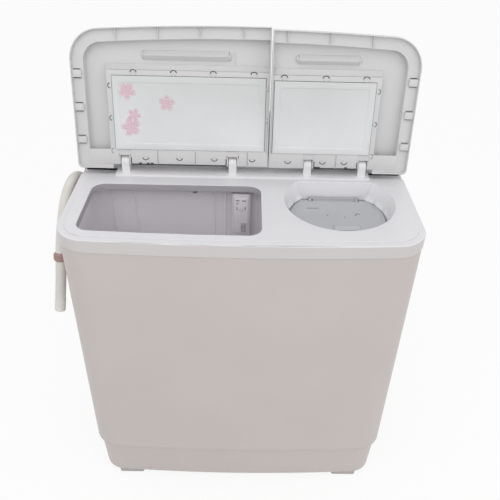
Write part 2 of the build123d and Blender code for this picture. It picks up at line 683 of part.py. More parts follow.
def lid_shell(x0, x1, trim0, trim1, middle, window, handle, rib_places, posts, knuckle_sides):
    """One lid, closed: skirt, ribbed shoulder, raised middle, window frame, pocket and knuckles."""
    rear = HINGE_Y + LID_REAR
    skirt_z = RIM_TOP + LID_SEAT
    inner_plane = LID_TOP_Z - WALL
    step = LID_INSET + SHOULDER
    lid = lid_blank(x0, x1, LID_INSET, rear, skirt_z, LID_SHOULDER_Z)
    lid += lid_blank(x0, x1, step, rear - SHOULDER, LID_PLANE_Z, LID_TOP_Z)
    lid -= lid_blank(x0 + trim0, x1 - trim1, LID_INSET + WALL, rear - WALL, skirt_z, LID_PLANE_Z)
    lid -= lid_blank(x0 + trim0, x1 - trim1, step + WALL, rear - SHOULDER - WALL, LID_PLANE_Z, inner_plane)
    rib_z = LID_PLANE_Z - RIB_HEIGHT
    channel = prism(LID_INSET, rib_z, LID_PLANE_Z) - prism(step, rib_z, LID_PLANE_Z)
    for x in rib_places:
        lid += block(x - RIB / 2, x + RIB / 2, FRONT_Y, 0, rib_z, LID_PLANE_Z) & channel
    lid -= block(middle[0], middle[1], HINGE_Y + LID_REAR_MIDDLE, rear + WALL, skirt_z, LID_SHOULDER_Z)
    lid -= block(middle[0], middle[1], PLATFORM_FRONT_Y - WALL, rear + WALL, skirt_z, LID_PLANE_Z)
    lid -= prism(LEDGE - KNUCKLE_GAP, skirt_z, DECK_TOP + LID_SEAT)
    share = block(x0, x1, -DEPTH, DEPTH, RIM_TOP, LID_TOP_Z)
    frame = ring_block(window, FRAME_WIDTH, FRAME_WIDTH - WALL, LID_PLANE_Z, inner_plane)
    frame += ring_block(window, FRAME_WIDTH, -FRAME_INNER - WALL, LID_PLANE_Z, LID_SHOULDER_Z)
    frame += ring_block(window, -FRAME_INNER, -FRAME_INNER - WALL, LID_PLANE_Z, inner_plane)
    lid += frame & share
    pane = PANE_LAP + SEAT_GAP
    lid -= block(window[0] - pane, window[1] + pane, window[2] - pane, window[3] + pane, inner_plane, LID_TOP_Z)
    hx0, hx1, hy0, hy1 = handle
    lid += rounded_block(hx0 - WALL, hx1 + WALL, hy0 - WALL, hy1 + WALL, LID_TOP_Z - HANDLE_DEPTH - WALL,
                         inner_plane, HANDLE_CORNER + WALL)
    lid -= rounded_block(hx0, hx1, hy0, hy1, LID_TOP_Z - HANDLE_DEPTH, LID_TOP_Z, HANDLE_CORNER)
    return lid_hinge(lid, posts, knuckle_sides, rear)


def lid_hinge(lid, posts, knuckle_sides, rear):
    """Cuts the posts' notches into a lid and adds the knuckles beside them."""
    notch = POST_WIDTH / 2 + KNUCKLE_GAP
    notch_y = HINGE_Y - POST_RADIUS - POST_GAP
    for x, side in zip(posts, knuckle_sides):
        lid += block(x - notch - WALL, x + notch + WALL, notch_y - WALL, rear - SHOULDER, LID_PLANE_Z, LID_TOP_Z)
        near = x + side * notch
        far = near + side * KNUCKLE_WIDTH
        k0, k1 = min(near, far), max(near, far)
        lid += cross_rod(k0, k1, HINGE_Y, HINGE_Z, KNUCKLE_RADIUS)
        lid += block(k0, k1, rear - SHOULDER - WALL, HINGE_Y + LID_REAR_MIDDLE, LID_PLANE_Z, HINGE_Z)
        lid -= cross_rod(k0, k1, HINGE_Y, HINGE_Z, PIN_RADIUS + PIN_GAP)
        lid -= block(x - notch, x + notch, notch_y, rear + WALL, RIM_TOP, LID_TOP_Z + KNUCKLE_RADIUS)
    return lid


def lid_pins(posts, knuckle_sides):
    """The steel pins, each pressed in a knuckle and turning in its post."""
    pins = []
    for x, side in zip(posts, knuckle_sides):
        far = x + side * (POST_WIDTH / 2 + KNUCKLE_GAP + KNUCKLE_WIDTH)
        end = x - side * POST_WIDTH / 2
        pins.append(cross_rod(min(far, end), max(far, end), HINGE_Y, HINGE_Z, PIN_RADIUS))
    return Compound(pins)


def lid_plate(window):
    """The frosted plate clipped under a lid's window frame."""
    x0, x1, y0, y1 = window
    top = LID_PLANE_Z - SEAT_GAP
    return rounded_block(x0, x1, y0, y1, top - PLATE_THICK, top, PLATE_CORNER)


def lid_pane(window):
    """The clear pane let into a lid's top."""
    x0, x1, y0, y1 = window
    return block(x0 - PANE_LAP, x1 + PANE_LAP, y0 - PANE_LAP, y1 + PANE_LAP, LID_TOP_Z - PANE_THICK, LID_TOP_Z)


def opened(shape, angle):
    """A lid's piece turned back about the hinge, as it rests open."""
    return shape.rotate(HINGE_AXIS, -angle)


def lid_bumpers():
    """Rubber pads on the console's front that the open lids lean on."""
    pads = []
    for places, angle in ((WASH_BUMPERS, WASH_LID_OPEN), (SPIN_BUMPERS, SPIN_LID_OPEN)):
        for x in places:
            pad = block(x - BUMPER_HALF, x + BUMPER_HALF, HINGE_Y - BUMPER_FAR, HINGE_Y - BUMPER_NEAR,
                        LID_TOP_Z + SEAT_GAP, LID_TOP_Z + BUMPER_REACH)
            pads.append(opened(pad, angle) & half_space(CONSOLE_FRONT_Y))
    return Compound(pads)


def wash_tub():
    """The wash tub: ribbed walls, a rounded bottom, a flange under the deck and bosses for the drive."""
    x0, x1, y0, y1 = TUB_LEFT, TUB_RIGHT, TUB_FRONT, TUB_REAR
    tub = rounded_block(x0 - WALL, x1 + WALL, y0 - WALL, y1 + WALL, TUB_UNDER_Z, DECK_UNDER, TUB_CORNER + WALL)
    tub = fillet(tub.edges().group_by(Axis.Z)[0], TUB_BOTTOM_EDGE + WALL)
    rim = TUB_FLANGE + WALL
    tub += rounded_block(x0 - rim, x1 + rim, y0 - rim, y1 + rim, DECK_UNDER - WALL, DECK_UNDER, TUB_CORNER + rim)
    hollow = rounded_block(x0, x1, y0, y1, TUB_FLOOR_Z, DECK_UNDER, TUB_CORNER)
    hollow = fillet(hollow.edges().group_by(Axis.Z)[0], TUB_BOTTOM_EDGE)
    tub -= hollow
    rib_foot = TUB_FLOOR_Z + TUB_BOTTOM_EDGE
    for x in TUB_BACK_RIBS:
        tub += rod(x, y1, rib_foot, DECK_UNDER, TUB_RIB)
    count = int((y1 - y0 - 2 * TUB_CORNER) // TUB_SIDE_RIB_PITCH)
    for i in range(count + 1):
        y = y0 + TUB_CORNER + i * TUB_SIDE_RIB_PITCH
        tub += rod(x1 + WALL / 2, y, rib_foot, DECK_UNDER, TUB_RIB)
        tub -= rod(x1 + WALL + TUB_RIB, y, rib_foot, DECK_UNDER, TUB_RIB)
    for x, y in BOSS_PLACES:
        tub += rod(x, y, BRACKET_TOP, TUB_FLOOR_Z, BOSS_RADIUS)
        tub -= rod(x, y, BRACKET_TOP, TUB_UNDER_Z, BOLT_RADIUS + PIN_GAP)
    tub -= rod(PULSATOR_X, PULSATOR_Y, TUB_UNDER_Z, TUB_FLOOR_Z, SEAL_RADIUS)
    spout = Rot(90, 0, 0) * Cylinder(SPOUT_RADIUS + SEAT_GAP, 2 * WALL)
    tub -= Pos(FILL_SELECTOR_X, y1 + WALL / 2, FILL_SPOUT_Z) * spout
    return tub - rod(TUB_DRAIN_X, TUB_DRAIN_Y, TUB_UNDER_Z, TUB_FLOOR_Z, TUB_DRAIN_RADIUS)


def pulsator():
    """The ribbed disc that turns the washing water."""
    bottom = TUB_FLOOR_Z + PULSATOR_GAP
    profile = Polyline((0, bottom), (PULSATOR_RADIUS, bottom), (PULSATOR_RADIUS, bottom + PULSATOR_EDGE),
                       (PULSATOR_HUB * 2, bottom + 2 * PULSATOR_EDGE),
                       (PULSATOR_HUB, bottom + PULSATOR_HEIGHT / 2), (0, bottom + PULSATOR_HEIGHT / 2), close=True)
    disc = revolve(Plane.XZ * make_face(profile), Axis.Z)
    for i in range(PULSATOR_VANES):
        vane = Plane.XZ * make_face(Polyline(
            (PULSATOR_HUB / 2, bottom + PULSATOR_EDGE), (PULSATOR_RADIUS - PULSATOR_EDGE, bottom + PULSATOR_EDGE),
            (PULSATOR_RADIUS - PULSATOR_EDGE, bottom + 2 * PULSATOR_EDGE),
            (PULSATOR_HUB, bottom + PULSATOR_HEIGHT), (PULSATOR_HUB / 2, bottom + PULSATOR_HEIGHT), close=True))
        disc += Rot(0, 0, i * 360 / PULSATOR_VANES) * extrude(vane, PULSATOR_EDGE, both=True)
    disc -= rod(0, 0, bottom + PULSATOR_HEIGHT / 2, bottom + PULSATOR_HEIGHT, SCREW_WELL)
    disc -= rod(0, 0, bottom, SHAFT_TOP_Z, PULSATOR_SHAFT + PIN_GAP)
    disc -= rod(0, 0, bottom, bottom + PULSATOR_HEIGHT, BOLT_RADIUS + PIN_GAP)
    return Pos(PULSATOR_X, PULSATOR_Y, 0) * disc


def pulsator_screw():
    """The screw that holds the pulsator on its shaft."""
    head_z = TUB_FLOOR_Z + PULSATOR_GAP + PULSATOR_HEIGHT / 2
    screw = rod(PULSATOR_X, PULSATOR_Y, head_z, head_z + BOLT_RADIUS, SCREW_WASHER)
    return screw + rod(PULSATOR_X, PULSATOR_Y, SHAFT_TOP_Z - SCREW_DEPTH, head_z, BOLT_RADIUS)


def pulsator_shaft():
    """The output shaft, from the gearbox up through the tub's floor."""
    shaft = rod(PULSATOR_X, PULSATOR_Y, GEARBOX_BOTTOM + GEARBOX_HEIGHT / 2, SHAFT_TOP_Z, PULSATOR_SHAFT)
    return shaft - rod(PULSATOR_X, PULSATOR_Y, SHAFT_TOP_Z - SCREW_DEPTH, SHAFT_TOP_Z, BOLT_RADIUS + PIN_GAP)


def shaft_seal():
    """The rubber ring between the gearbox neck and the tub's floor."""
    ring = rod(PULSATOR_X, PULSATOR_Y, TUB_UNDER_Z, TUB_FLOOR_Z, SEAL_RADIUS - PIN_GAP)
    ring += rod(PULSATOR_X, PULSATOR_Y, TUB_FLOOR_Z, TUB_FLOOR_Z + SEAL_LIP, SEAL_RADIUS + SEAL_LIP)
    return ring - rod(PULSATOR_X, PULSATOR_Y, TUB_UNDER_Z, TUB_FLOOR_Z + SEAL_LIP, GEARBOX_NECK + PIN_GAP)


def gearbox_housing():
    """The reduction gearbox hung under the bracket, its neck rising through the tub's floor."""
    middle = GEARBOX_BOTTOM + GEARBOX_HEIGHT / 2
    box = rod(PULSATOR_X, PULSATOR_Y, GEARBOX_BOTTOM, BRACKET_BOTTOM, GEARBOX_RADIUS)
    box = fillet(box.edges().group_by(Axis.Z)[0], GEARBOX_RADIUS / 8)
    box += rod(PULSATOR_X, PULSATOR_Y, BRACKET_BOTTOM, TUB_FLOOR_Z + SEAL_LIP, GEARBOX_NECK)
    box -= rod(PULSATOR_X, PULSATOR_Y, middle - SEAT_GAP, TUB_FLOOR_Z + SEAL_LIP, PULSATOR_SHAFT + RUNNING_GAP)
    return box - rod(PULSATOR_X, PULSATOR_Y, GEARBOX_BOTTOM, middle - 2 * WALL, INPUT_SHAFT + RUNNING_GAP)


def pulley(x, y, radius, bore_top, shaft):
    """A grooved pulley with its own shaft rising to bore_top."""
    groove = radius - BELT_THICK - SEAT_GAP
    lip = (PULLEY_HEIGHT - BELT_WIDTH) / 2 - SEAT_GAP
    wheel = rod(x, y, PULLEY_BOTTOM, PULLEY_TOP, radius)
    wheel -= rod(x, y, PULLEY_BOTTOM + lip, PULLEY_TOP - lip, radius) - rod(x, y, PULLEY_BOTTOM, PULLEY_TOP, groove)
    return wheel + rod(x, y, PULLEY_TOP, bore_top, shaft)


def gearbox_pulley():
    """The large driven pulley with five round windows."""
    bore_top = GEARBOX_BOTTOM + GEARBOX_HEIGHT / 2 - 3 * WALL
    wheel = pulley(PULSATOR_X, PULSATOR_Y, PULLEY_RADIUS, bore_top, INPUT_SHAFT)
    for i in range(PULLEY_WINDOWS):
        turn = 2 * math.pi * i / PULLEY_WINDOWS
        x = PULSATOR_X + PULLEY_WINDOW_REACH * math.cos(turn)
        y = PULSATOR_Y + PULLEY_WINDOW_REACH * math.sin(turn)
        wheel -= rod(x, y, PULLEY_BOTTOM, PULLEY_TOP, PULLEY_WINDOW)
    return wheel


def belt_band(grow, z0, z1):
    """The belt's outline: two circles and the tangents round them, at a distance in from the rims."""
    big = Pos(PULSATOR_X, PULSATOR_Y) * Circle(PULLEY_RADIUS - grow)
    small = Pos(WASH_MOTOR_X, WASH_MOTOR_Y) * Circle(MOTOR_PULLEY_RADIUS - grow)
    return extrude(Pos(0, 0, z0) * make_hull(big.edges() + small.edges()), z1 - z0)


def drive_belt():
    """The rubber belt from the motor to the gearbox."""
    z0 = PULLEY_BOTTOM + (PULLEY_HEIGHT - BELT_WIDTH) / 2
    return belt_band(0, z0, z0 + BELT_WIDTH) - belt_band(BELT_THICK, z0, z0 + BELT_WIDTH)


def wash_motor():
    """The wash motor under the bracket, with cooling slots and its shaft's bore."""
    x, y = WASH_MOTOR_X, WASH_MOTOR_Y
    motor = rod(x, y, GEARBOX_BOTTOM, BRACKET_BOTTOM, WASH_MOTOR_RADIUS)
    motor = fillet(motor.edges().group_by(Axis.Z)[0], WASH_MOTOR_RADIUS / 8)
    for i in range(MOTOR_SLOTS):
        turn = i * 360 / MOTOR_SLOTS
        slot = block(WASH_MOTOR_RADIUS - SLOT_DEPTH, WASH_MOTOR_RADIUS + SLOT_DEPTH,
                     -SLOT_WIDTH / 2, SLOT_WIDTH / 2,
                     GEARBOX_BOTTOM + GEARBOX_HEIGHT / 4, BRACKET_BOTTOM - GEARBOX_HEIGHT / 4)
        motor -= Pos(x, y, 0) * Rot(0, 0, turn) * slot
    return motor - rod(x, y, GEARBOX_BOTTOM, GEARBOX_BOTTOM + GEARBOX_HEIGHT / 2, MOTOR_SHAFT + RUNNING_GAP)


def wash_motor_pulley():
    """The small pulley on the wash motor's shaft."""
    bore_top = GEARBOX_BOTTOM + GEARBOX_HEIGHT / 2 - WALL
    return pulley(WASH_MOTOR_X, WASH_MOTOR_Y, MOTOR_PULLEY_RADIUS, bore_top, MOTOR_SHAFT)


def drive_bracket():
    """The steel plate under the tub that carries the gearbox and the wash motor."""
    plate = block(BRACKET_LEFT, BRACKET_RIGHT, BRACKET_FRONT, BRACKET_REAR, BRACKET_BOTTOM, BRACKET_TOP)
    plate += block(BRACKET_LEFT, BRACKET_RIGHT, BRACKET_FRONT, BRACKET_FRONT + BRACKET_THICK,
                   BRACKET_TOP - BRACKET_LIP, BRACKET_TOP)
    plate += block(BRACKET_LEFT, BRACKET_RIGHT, BRACKET_REAR - BRACKET_THICK, BRACKET_REAR,
                   BRACKET_TOP - BRACKET_LIP, BRACKET_TOP)
    for x, y in BOSS_PLACES:
        plate -= rod(x, y, BRACKET_BOTTOM, BRACKET_TOP, BOLT_RADIUS + SEAT_GAP)
    return plate - rod(PULSATOR_X, PULSATOR_Y, BRACKET_BOTTOM, BRACKET_TOP, GEARBOX_NECK + SEAT_GAP)


def bracket_bolts():
    """Four bolts from below into the tub's bosses."""
    bolts = []
    for x, y in BOSS_PLACES:
        head = Pos(x, y, BRACKET_BOTTOM - 2 * BOLT_RADIUS) * RegularPolygon(2 * BOLT_RADIUS, 6)
        bolt = extrude(head, 2 * BOLT_RADIUS)
        bolts.append(bolt + rod(x, y, BRACKET_BOTTOM, TUB_UNDER_Z - WALL, BOLT_RADIUS))
    return Compound(bolts)


def capacitor():
    """The motors' capacitor, standing in its clip on the tray."""
    foot = FOOT_HEIGHT + BASE_FLOOR
    can = rod(CAPACITOR_X, CAPACITOR_Y, foot, foot + CAPACITOR_HEIGHT, CAPACITOR_RADIUS)
    for side in (-1, 1):
        x = CAPACITOR_X + side * TERMINAL_X
        can += block(x - TAB_THICK / 2, x + TAB_THICK / 2,
                     CAPACITOR_Y - TAB_WIDTH / 2, CAPACITOR_Y + TAB_WIDTH / 2,
                     foot + CAPACITOR_HEIGHT, foot + CAPACITOR_HEIGHT + TAB_HEIGHT)
    return can


def tub_plan(inset):
    """The wash tub's inner plan, at an inset, over its full height."""
    return rounded_block(TUB_LEFT + inset, TUB_RIGHT - inset, TUB_FRONT + inset, TUB_REAR - inset, TUB_FLOOR_Z,
                         DECK_UNDER, TUB_CORNER - inset)


def filter_housing():
    """The lint filter's channel on the tub's rear wall, with inlet slots low on its face."""
    box = block(FILTER_LEFT, FILTER_RIGHT, FILTER_FRONT_Y, TUB_REAR, FILTER_BOTTOM, FILTER_TOP)
    box = fillet(box.edges().filter_by(Axis.Z).sort_by(Axis.Y)[:2], FILTER_ROUND) & tub_plan(0)
    box -= block(FILTER_LEFT + WALL, FILTER_RIGHT - WALL, FILTER_FRONT_Y + WALL, TUB_REAR,
                 FILTER_BOTTOM, FILTER_TOP - WALL) & tub_plan(WALL)
    middle = (FILTER_LEFT + FILTER_RIGHT) / 2
    for i in range(FILTER_SLOTS):
        z = FILTER_BOTTOM + FILTER_SLOT_PITCH * (i + 1)
        box -= block(middle - FILTER_SLOT_HALF, middle + FILTER_SLOT_HALF, FILTER_FRONT_Y - WALL,
                     FILTER_FRONT_Y + 2 * WALL, z - WALL / 2, z + WALL / 2)
    window = block(FILTER_LEFT + 3 * WALL, FILTER_RIGHT - 3 * WALL,
                   FILTER_FRONT_Y - WALL, FILTER_FRONT_Y + 2 * WALL,
                   FILTER_BOTTOM + FILTER_SLOT_PITCH * (FILTER_SLOTS + 2), FILTER_TOP - 4 * WALL)
    return box - window


def lint_filter():
    """The lift-off filter frame on the housing's face."""
    z0 = FILTER_BOTTOM + FILTER_SLOT_PITCH * (FILTER_SLOTS + 2) - WALL
    z1 = FILTER_TOP - 3 * WALL
    face = FILTER_FRONT_Y - SEAT_GAP
    left, right = FILTER_LEFT + 2 * WALL, FILTER_RIGHT - 2 * WALL
    frame = block(left, right, face - FILTER_FRAME, face, z0, z1)
    frame -= block(left + 2 * WALL, right - 2 * WALL, face - FILTER_FRAME, face, z0 + 2 * WALL, z1 - 2 * WALL)
    rungs = int((z1 - z0 - 4 * WALL) // FILTER_RUNG_PITCH)
    for i in range(1, rungs + 1):
        z = z0 + 2 * WALL + i * FILTER_RUNG_PITCH
        frame += block(left + WALL, right - WALL, face - FILTER_FRAME, face, z - WALL / 4, z + WALL / 4)
    return frame


def drain_strainer():
    """The slotted plate over the wash tub's drain."""
    plate = rod(TUB_DRAIN_X, TUB_DRAIN_Y, TUB_FLOOR_Z, TUB_FLOOR_Z + WALL, TUB_DRAIN_RADIUS + WALL)
    plate += rod(TUB_DRAIN_X, TUB_DRAIN_Y, TUB_UNDER_Z, TUB_FLOOR_Z, TUB_DRAIN_RADIUS - PIN_GAP)
    for i in range(-2, 3):
        y = TUB_DRAIN_Y + i * 3 * WALL
        half = math.sqrt(TUB_DRAIN_RADIUS ** 2 - (abs(i * 3 * WALL) + WALL) ** 2) - WALL
        plate -= block(TUB_DRAIN_X - half, TUB_DRAIN_X + half, y - WALL / 2, y + WALL / 2,
                       TUB_UNDER_Z, TUB_FLOOR_Z + WALL)
    return plate


def spin_outer_tub():
    """The round tub that catches the spun water."""
    tub = rod(SPIN_X, SPIN_Y, SPIN_UNDER_Z, DECK_UNDER, OUTER_TUB + WALL)
    tub = fillet(tub.edges().group_by(Axis.Z)[0], OUTER_TUB_EDGE + WALL)
    tub += rod(SPIN_X, SPIN_Y, DECK_UNDER - WALL, DECK_UNDER, OUTER_TUB + WALL + TUB_FLANGE)
    hollow = rod(SPIN_X, SPIN_Y, SPIN_FLOOR_Z, DECK_UNDER, OUTER_TUB)
    tub -= fillet(hollow.edges().group_by(Axis.Z)[0], OUTER_TUB_EDGE)
    tub -= rod(SPIN_X, SPIN_Y, SPIN_UNDER_Z, SPIN_FLOOR_Z, BELLOWS_BORE)
    tub -= rod(SPIN_DRAIN_X, SPIN_DRAIN_Y, SPIN_UNDER_Z, SPIN_FLOOR_Z, PIPE_RADIUS - WALL)
    reach = WALL + SEAT_GAP
    return tub - block(PLATFORM_HALF - reach, HALF, CORNER_FRONT_Y - reach, CONSOLE_FRONT_Y,
                       RIM_TOP - CORNER_DROP - reach, DECK_UNDER)


def spin_basket():
    """The perforated basket with a turned-in mouth and a hub on its floor."""
    x, y = SPIN_X, SPIN_Y
    basket = rod(x, y, BASKET_BOTTOM_Z, BASKET_TOP_Z, BASKET_RADIUS)
    basket = fillet(basket.edges().group_by(Axis.Z)[0], BASKET_EDGE)
    hollow = rod(x, y, BASKET_BOTTOM_Z + BASKET_WALL, BASKET_TOP_Z - BASKET_WALL, BASKET_RADIUS - BASKET_WALL)
    basket -= fillet(hollow.edges().group_by(Axis.Z)[0], BASKET_EDGE - BASKET_WALL)
    basket -= rod(x, y, BASKET_TOP_Z - BASKET_WALL, BASKET_TOP_Z, BASKET_MOUTH)
    drill = Pos(BASKET_RADIUS, 0, 0) * Rot(0, 90, 0) * Cylinder(HOLE_RADIUS, 2 * WALL)
    pitch = (BASKET_TOP_Z - BASKET_BOTTOM_Z - 4 * BASKET_EDGE) / (HOLE_ROWS - 1)
    drills = [Pos(x, y, BASKET_BOTTOM_Z + 2 * BASKET_EDGE + row * pitch)
              * Rot(0, 0, (column + row % 2 / 2) * 360 / HOLE_COLUMNS) * drill
              for row in range(HOLE_ROWS) for column in range(HOLE_COLUMNS)]
    basket -= Compound(drills)
    hub_top = BASKET_BOTTOM_Z + BASKET_HUB_HEIGHT
    basket += rod(x, y, BASKET_BOTTOM_Z, hub_top, BASKET_HUB)
    return basket - rod(x, y, BASKET_BOTTOM_Z, hub_top, SPIN_SHAFT + PIN_GAP)


def spin_shaft():
    """The steel shaft from the spin motor up to the basket's hub."""
    return rod(SPIN_X, SPIN_Y, SPIN_MOTOR_TOP - MOTOR_BORE + WALL, BASKET_BOTTOM_Z + BASKET_HUB_HEIGHT, SPIN_SHAFT)


def spin_bellows():
    """The rubber bellows that seals the tub's floor round the bearing."""
    z1, z0 = SPIN_UNDER_Z, SPIN_UNDER_Z - BELLOWS_HEIGHT
    profile = Polyline((BELLOWS_BORE + 2 * WALL, z1), (BEARING_RADIUS + 2 * WALL, z0),
                       (BEARING_RADIUS + PIN_GAP, z0),
                       (BEARING_RADIUS + PIN_GAP, z0 + BEARING_HEIGHT), (BELLOWS_BORE - WALL, z1), close=True)
    return Pos(SPIN_X, SPIN_Y, 0) * revolve(Plane.XZ * make_face(profile), Axis.Z)


def spin_bearing():
    """The bearing held in the bellows' neck."""
    z0 = SPIN_UNDER_Z - BELLOWS_HEIGHT
    ring = rod(SPIN_X, SPIN_Y, z0, z0 + BEARING_HEIGHT, BEARING_RADIUS)
    return ring - rod(SPIN_X, SPIN_Y, z0, z0 + BEARING_HEIGHT, SPIN_SHAFT + RUNNING_GAP)


def brake_disc():
    """The coupling disc that the brake's pad bears on."""
    disc = rod(SPIN_X, SPIN_Y, BRAKE_Z - BRAKE_THICK / 2, BRAKE_Z + BRAKE_THICK / 2, BRAKE_RADIUS)
    disc += rod(SPIN_X, SPIN_Y, BRAKE_Z - BRAKE_THICK, BRAKE_Z + BRAKE_THICK / 2, BRAKE_HUB)
    for i in range(4):
        turn = math.radians(45 + 90 * i)
        disc -= rod(SPIN_X + BRAKE_HOLE_REACH * math.cos(turn), SPIN_Y + BRAKE_HOLE_REACH * math.sin(turn),
                    BRAKE_Z - BRAKE_THICK, BRAKE_Z + BRAKE_THICK, BRAKE_HOLE)
    return disc - rod(SPIN_X, SPIN_Y, BRAKE_Z - BRAKE_THICK, BRAKE_Z + BRAKE_THICK, SPIN_SHAFT + PIN_GAP)


def brake_lever():
    """The lever with its pad, turning on a post on the spin motor."""
    pad_x = SPIN_X + BRAKE_RADIUS + SEAT_GAP
    z0, z1 = BRAKE_Z - BRAKE_THICK / 2, BRAKE_Z + BRAKE_THICK / 2
    lever = rod(LEVER_X, LEVER_Y, z0, z1, LEVER_HUB)
    bar_x = LEVER_X + WALL
    lever += block(bar_x - LEVER_BAR / 2, bar_x + LEVER_BAR / 2, LEVER_Y, SPIN_Y + LEVER_REACH, z0, z1)
    lever += block(pad_x, LEVER_X + WALL, SPIN_Y - LEVER_HUB, SPIN_Y + LEVER_HUB, z0, z1)
    return lever - rod(LEVER_X, LEVER_Y, z0, z1, LEVER_PIN + RUNNING_GAP)


def spin_motor():
    """The spin motor with its mounting plate, cooling slots, bore and the brake lever's post."""
    motor = rod(SPIN_X, SPIN_Y, SPIN_MOTOR_BOTTOM, SPIN_MOTOR_TOP, SPIN_MOTOR_RADIUS)
    motor += rod(SPIN_X, SPIN_Y, CUSHION_TOP, SPIN_MOTOR_BOTTOM, MOTOR_PLATE_RADIUS)
    motor += rod(SPIN_X, SPIN_Y, SPIN_MOTOR_TOP - BRACKET_THICK, SPIN_MOTOR_TOP, MOTOR_CAP_RADIUS)
    for i in range(MOTOR_SLOTS):
        slot = block(SPIN_MOTOR_RADIUS - SLOT_DEPTH, SPIN_MOTOR_RADIUS + SLOT_DEPTH,
                     -SLOT_WIDTH / 2, SLOT_WIDTH / 2,
                     SPIN_MOTOR_BOTTOM + 3 * SLOT_WIDTH, SPIN_MOTOR_TOP - 3 * SLOT_WIDTH)
        motor -= Pos(SPIN_X, SPIN_Y, 0) * Rot(0, 0, i * 360 / MOTOR_SLOTS) * slot
    motor += rod(LEVER_X, LEVER_Y, SPIN_MOTOR_TOP, BRAKE_Z - BRAKE_THICK / 2 - SEAT_GAP, LEVER_HUB)
    motor += rod(LEVER_X, LEVER_Y, SPIN_MOTOR_TOP, BRAKE_Z + BRAKE_THICK, LEVER_PIN)
    return motor - rod(SPIN_X, SPIN_Y, SPIN_MOTOR_TOP - MOTOR_BORE, SPIN_MOTOR_TOP, SPIN_SHAFT + RUNNING_GAP)


def motor_cushions():
    """Three stepped rubber cushions under the spin motor's plate."""
    cushions = []
    for x, y in cushion_places():
        cushion = rod(x, y, CUSHION_FOOT, CUSHION_TOP, CUSHION_WAIST)
        for i in range(3):
            z = CUSHION_FOOT + i * (CUSHION_HEIGHT - CUSHION_RING) / 2
            cushion += rod(x, y, z, z + CUSHION_RING, CUSHION_BOSS)
        cushions.append(cushion)
    return Compound(cushions)


def spin_safety_cover():
    """The round inner cover that rests on the spin opening's ledge and lifts about its rear pins."""
    z0 = FUNNEL_FOOT_Z + SEAT_GAP
    z1 = z0 + COVER_THICK
    cover = rod(SPIN_X, SPIN_Y, z0, z1, COVER_RADIUS) & half_space(COVER_REAR_Y)
    reach = EAR_X - EAR_WIDTH / 2 - KNUCKLE_GAP
    for side in (-1, 1):
        ear_x = SPIN_X + side * EAR_X
        cover -= block(ear_x - EAR_NOTCH, ear_x + EAR_NOTCH, COVER_HINGE_Y - EAR_WIDTH, COVER_HINGE_Y, z0, z1)
    cover += cross_rod(SPIN_X - reach, SPIN_X + reach, COVER_HINGE_Y, COVER_HINGE_Z, COVER_BARREL)
    cover += block(SPIN_X - reach, SPIN_X + reach, COVER_REAR_Y - COVER_BARREL, COVER_HINGE_Y, z0, COVER_HINGE_Z)
    cover += ring_rib(COVER_RADIUS - 2 * WALL, z1)
    tab_x0, tab_x1, tab_y0, tab_y1 = COVER_TAB
    cover += rounded_block(tab_x0, tab_x1, tab_y0, tab_y1, z0, z1 + COVER_TAB_RISE, WALL)
    for x0, x1, y0, y1 in COVER_SLOTS:
        cover -= rounded_block(x0, x1, y0, y1, z0, z1 + COVER_TAB_RISE, COVER_SLOT_ROUND)
    return cover - cross_rod(SPIN_X - EAR_X, SPIN_X + EAR_X, COVER_HINGE_Y, COVER_HINGE_Z, COVER_PIN + PIN_GAP)


def ring_rib(radius, z):
    """A low rib round the cover, cut off at its rear."""
    ring = rod(SPIN_X, SPIN_Y, z, z + WALL / 2, radius) - rod(SPIN_X, SPIN_Y, z, z + WALL / 2, radius - WALL)
    return ring & half_space(COVER_REAR_Y - COVER_BARREL)


def safety_cover_pins():
    """Two steel pins, pressed in the cover and turning in the deck's ears."""
    pins = []
    for side in (-1, 1):
        inner = SPIN_X + side * (EAR_X - EAR_WIDTH)
        end = SPIN_X + side * (EAR_X + EAR_WIDTH / 2)
        pins.append(cross_rod(min(inner, end), max(inner, end), COVER_HINGE_Y, COVER_HINGE_Z, COVER_PIN))
    return Compound(pins)


def control_console():
    """The hollow console across the rear of the deck, its top sloped for the controls."""
    half = HALF - CONSOLE_INSET
    rear = REAR_Y - CONSOLE_INSET
    face = make_face(Polyline((CONSOLE_FRONT_Y, RIM_TOP), (CONSOLE_FRONT_Y, CONSOLE_LIP_Z),
                              (CONSOLE_BACK_Y, CONSOLE_TOP_Z), (rear, CONSOLE_TOP_Z), (rear, RIM_TOP), close=True))
    case = extrude(Plane.YZ * face, half, both=True)
    corner = REAR_CORNER - CONSOLE_INSET
    case = fillet(case.edges().filter_by(Axis.Z).group_by(Axis.Y)[-1], corner)
    long_edges = case.edges().filter_by(Axis.X).filter_by(lambda e: e.center().Z > CONSOLE_LIP_Z - WALL)
    case = fillet(long_edges.sort_by(Axis.Y)[:2], CONSOLE_ROUND)
    hollow = extrude(Plane.YZ * offset(face, -WALL), half - WALL, both=True)
    hollow += block(WALL - half, half - WALL, CONSOLE_FRONT_Y + WALL, rear - WALL, RIM_TOP, RIM_TOP + 2 * WALL)
    hollow = fillet(hollow.edges().filter_by(Axis.Z).group_by(Axis.Y)[-1], corner - WALL)
    case -= hollow
    for x in (WASH_TIMER_X, FILL_SELECTOR_X, SPIN_TIMER_X):
        case -= on_slope(x) * rod(0, 0, -4 * WALL, WALL, KNOB_BUSH + SEAT_GAP)
    case += on_slope(DRAIN_SELECTOR_X) * rod(0, 0, -WALL - KNOB_BUSH, -WALL / 2, 2 * KNOB_BUSH)
    case -= on_slope(DRAIN_SELECTOR_X) * rod(0, 0, -4 * WALL, WALL, KNOB_SHAFT + RUNNING_GAP)
    return case - rod(FILL_SELECTOR_X, INLET_Y, CONSOLE_TOP_Z - 2 * WALL, CONSOLE_TOP_Z, INLET_RADIUS + SEAT_GAP)


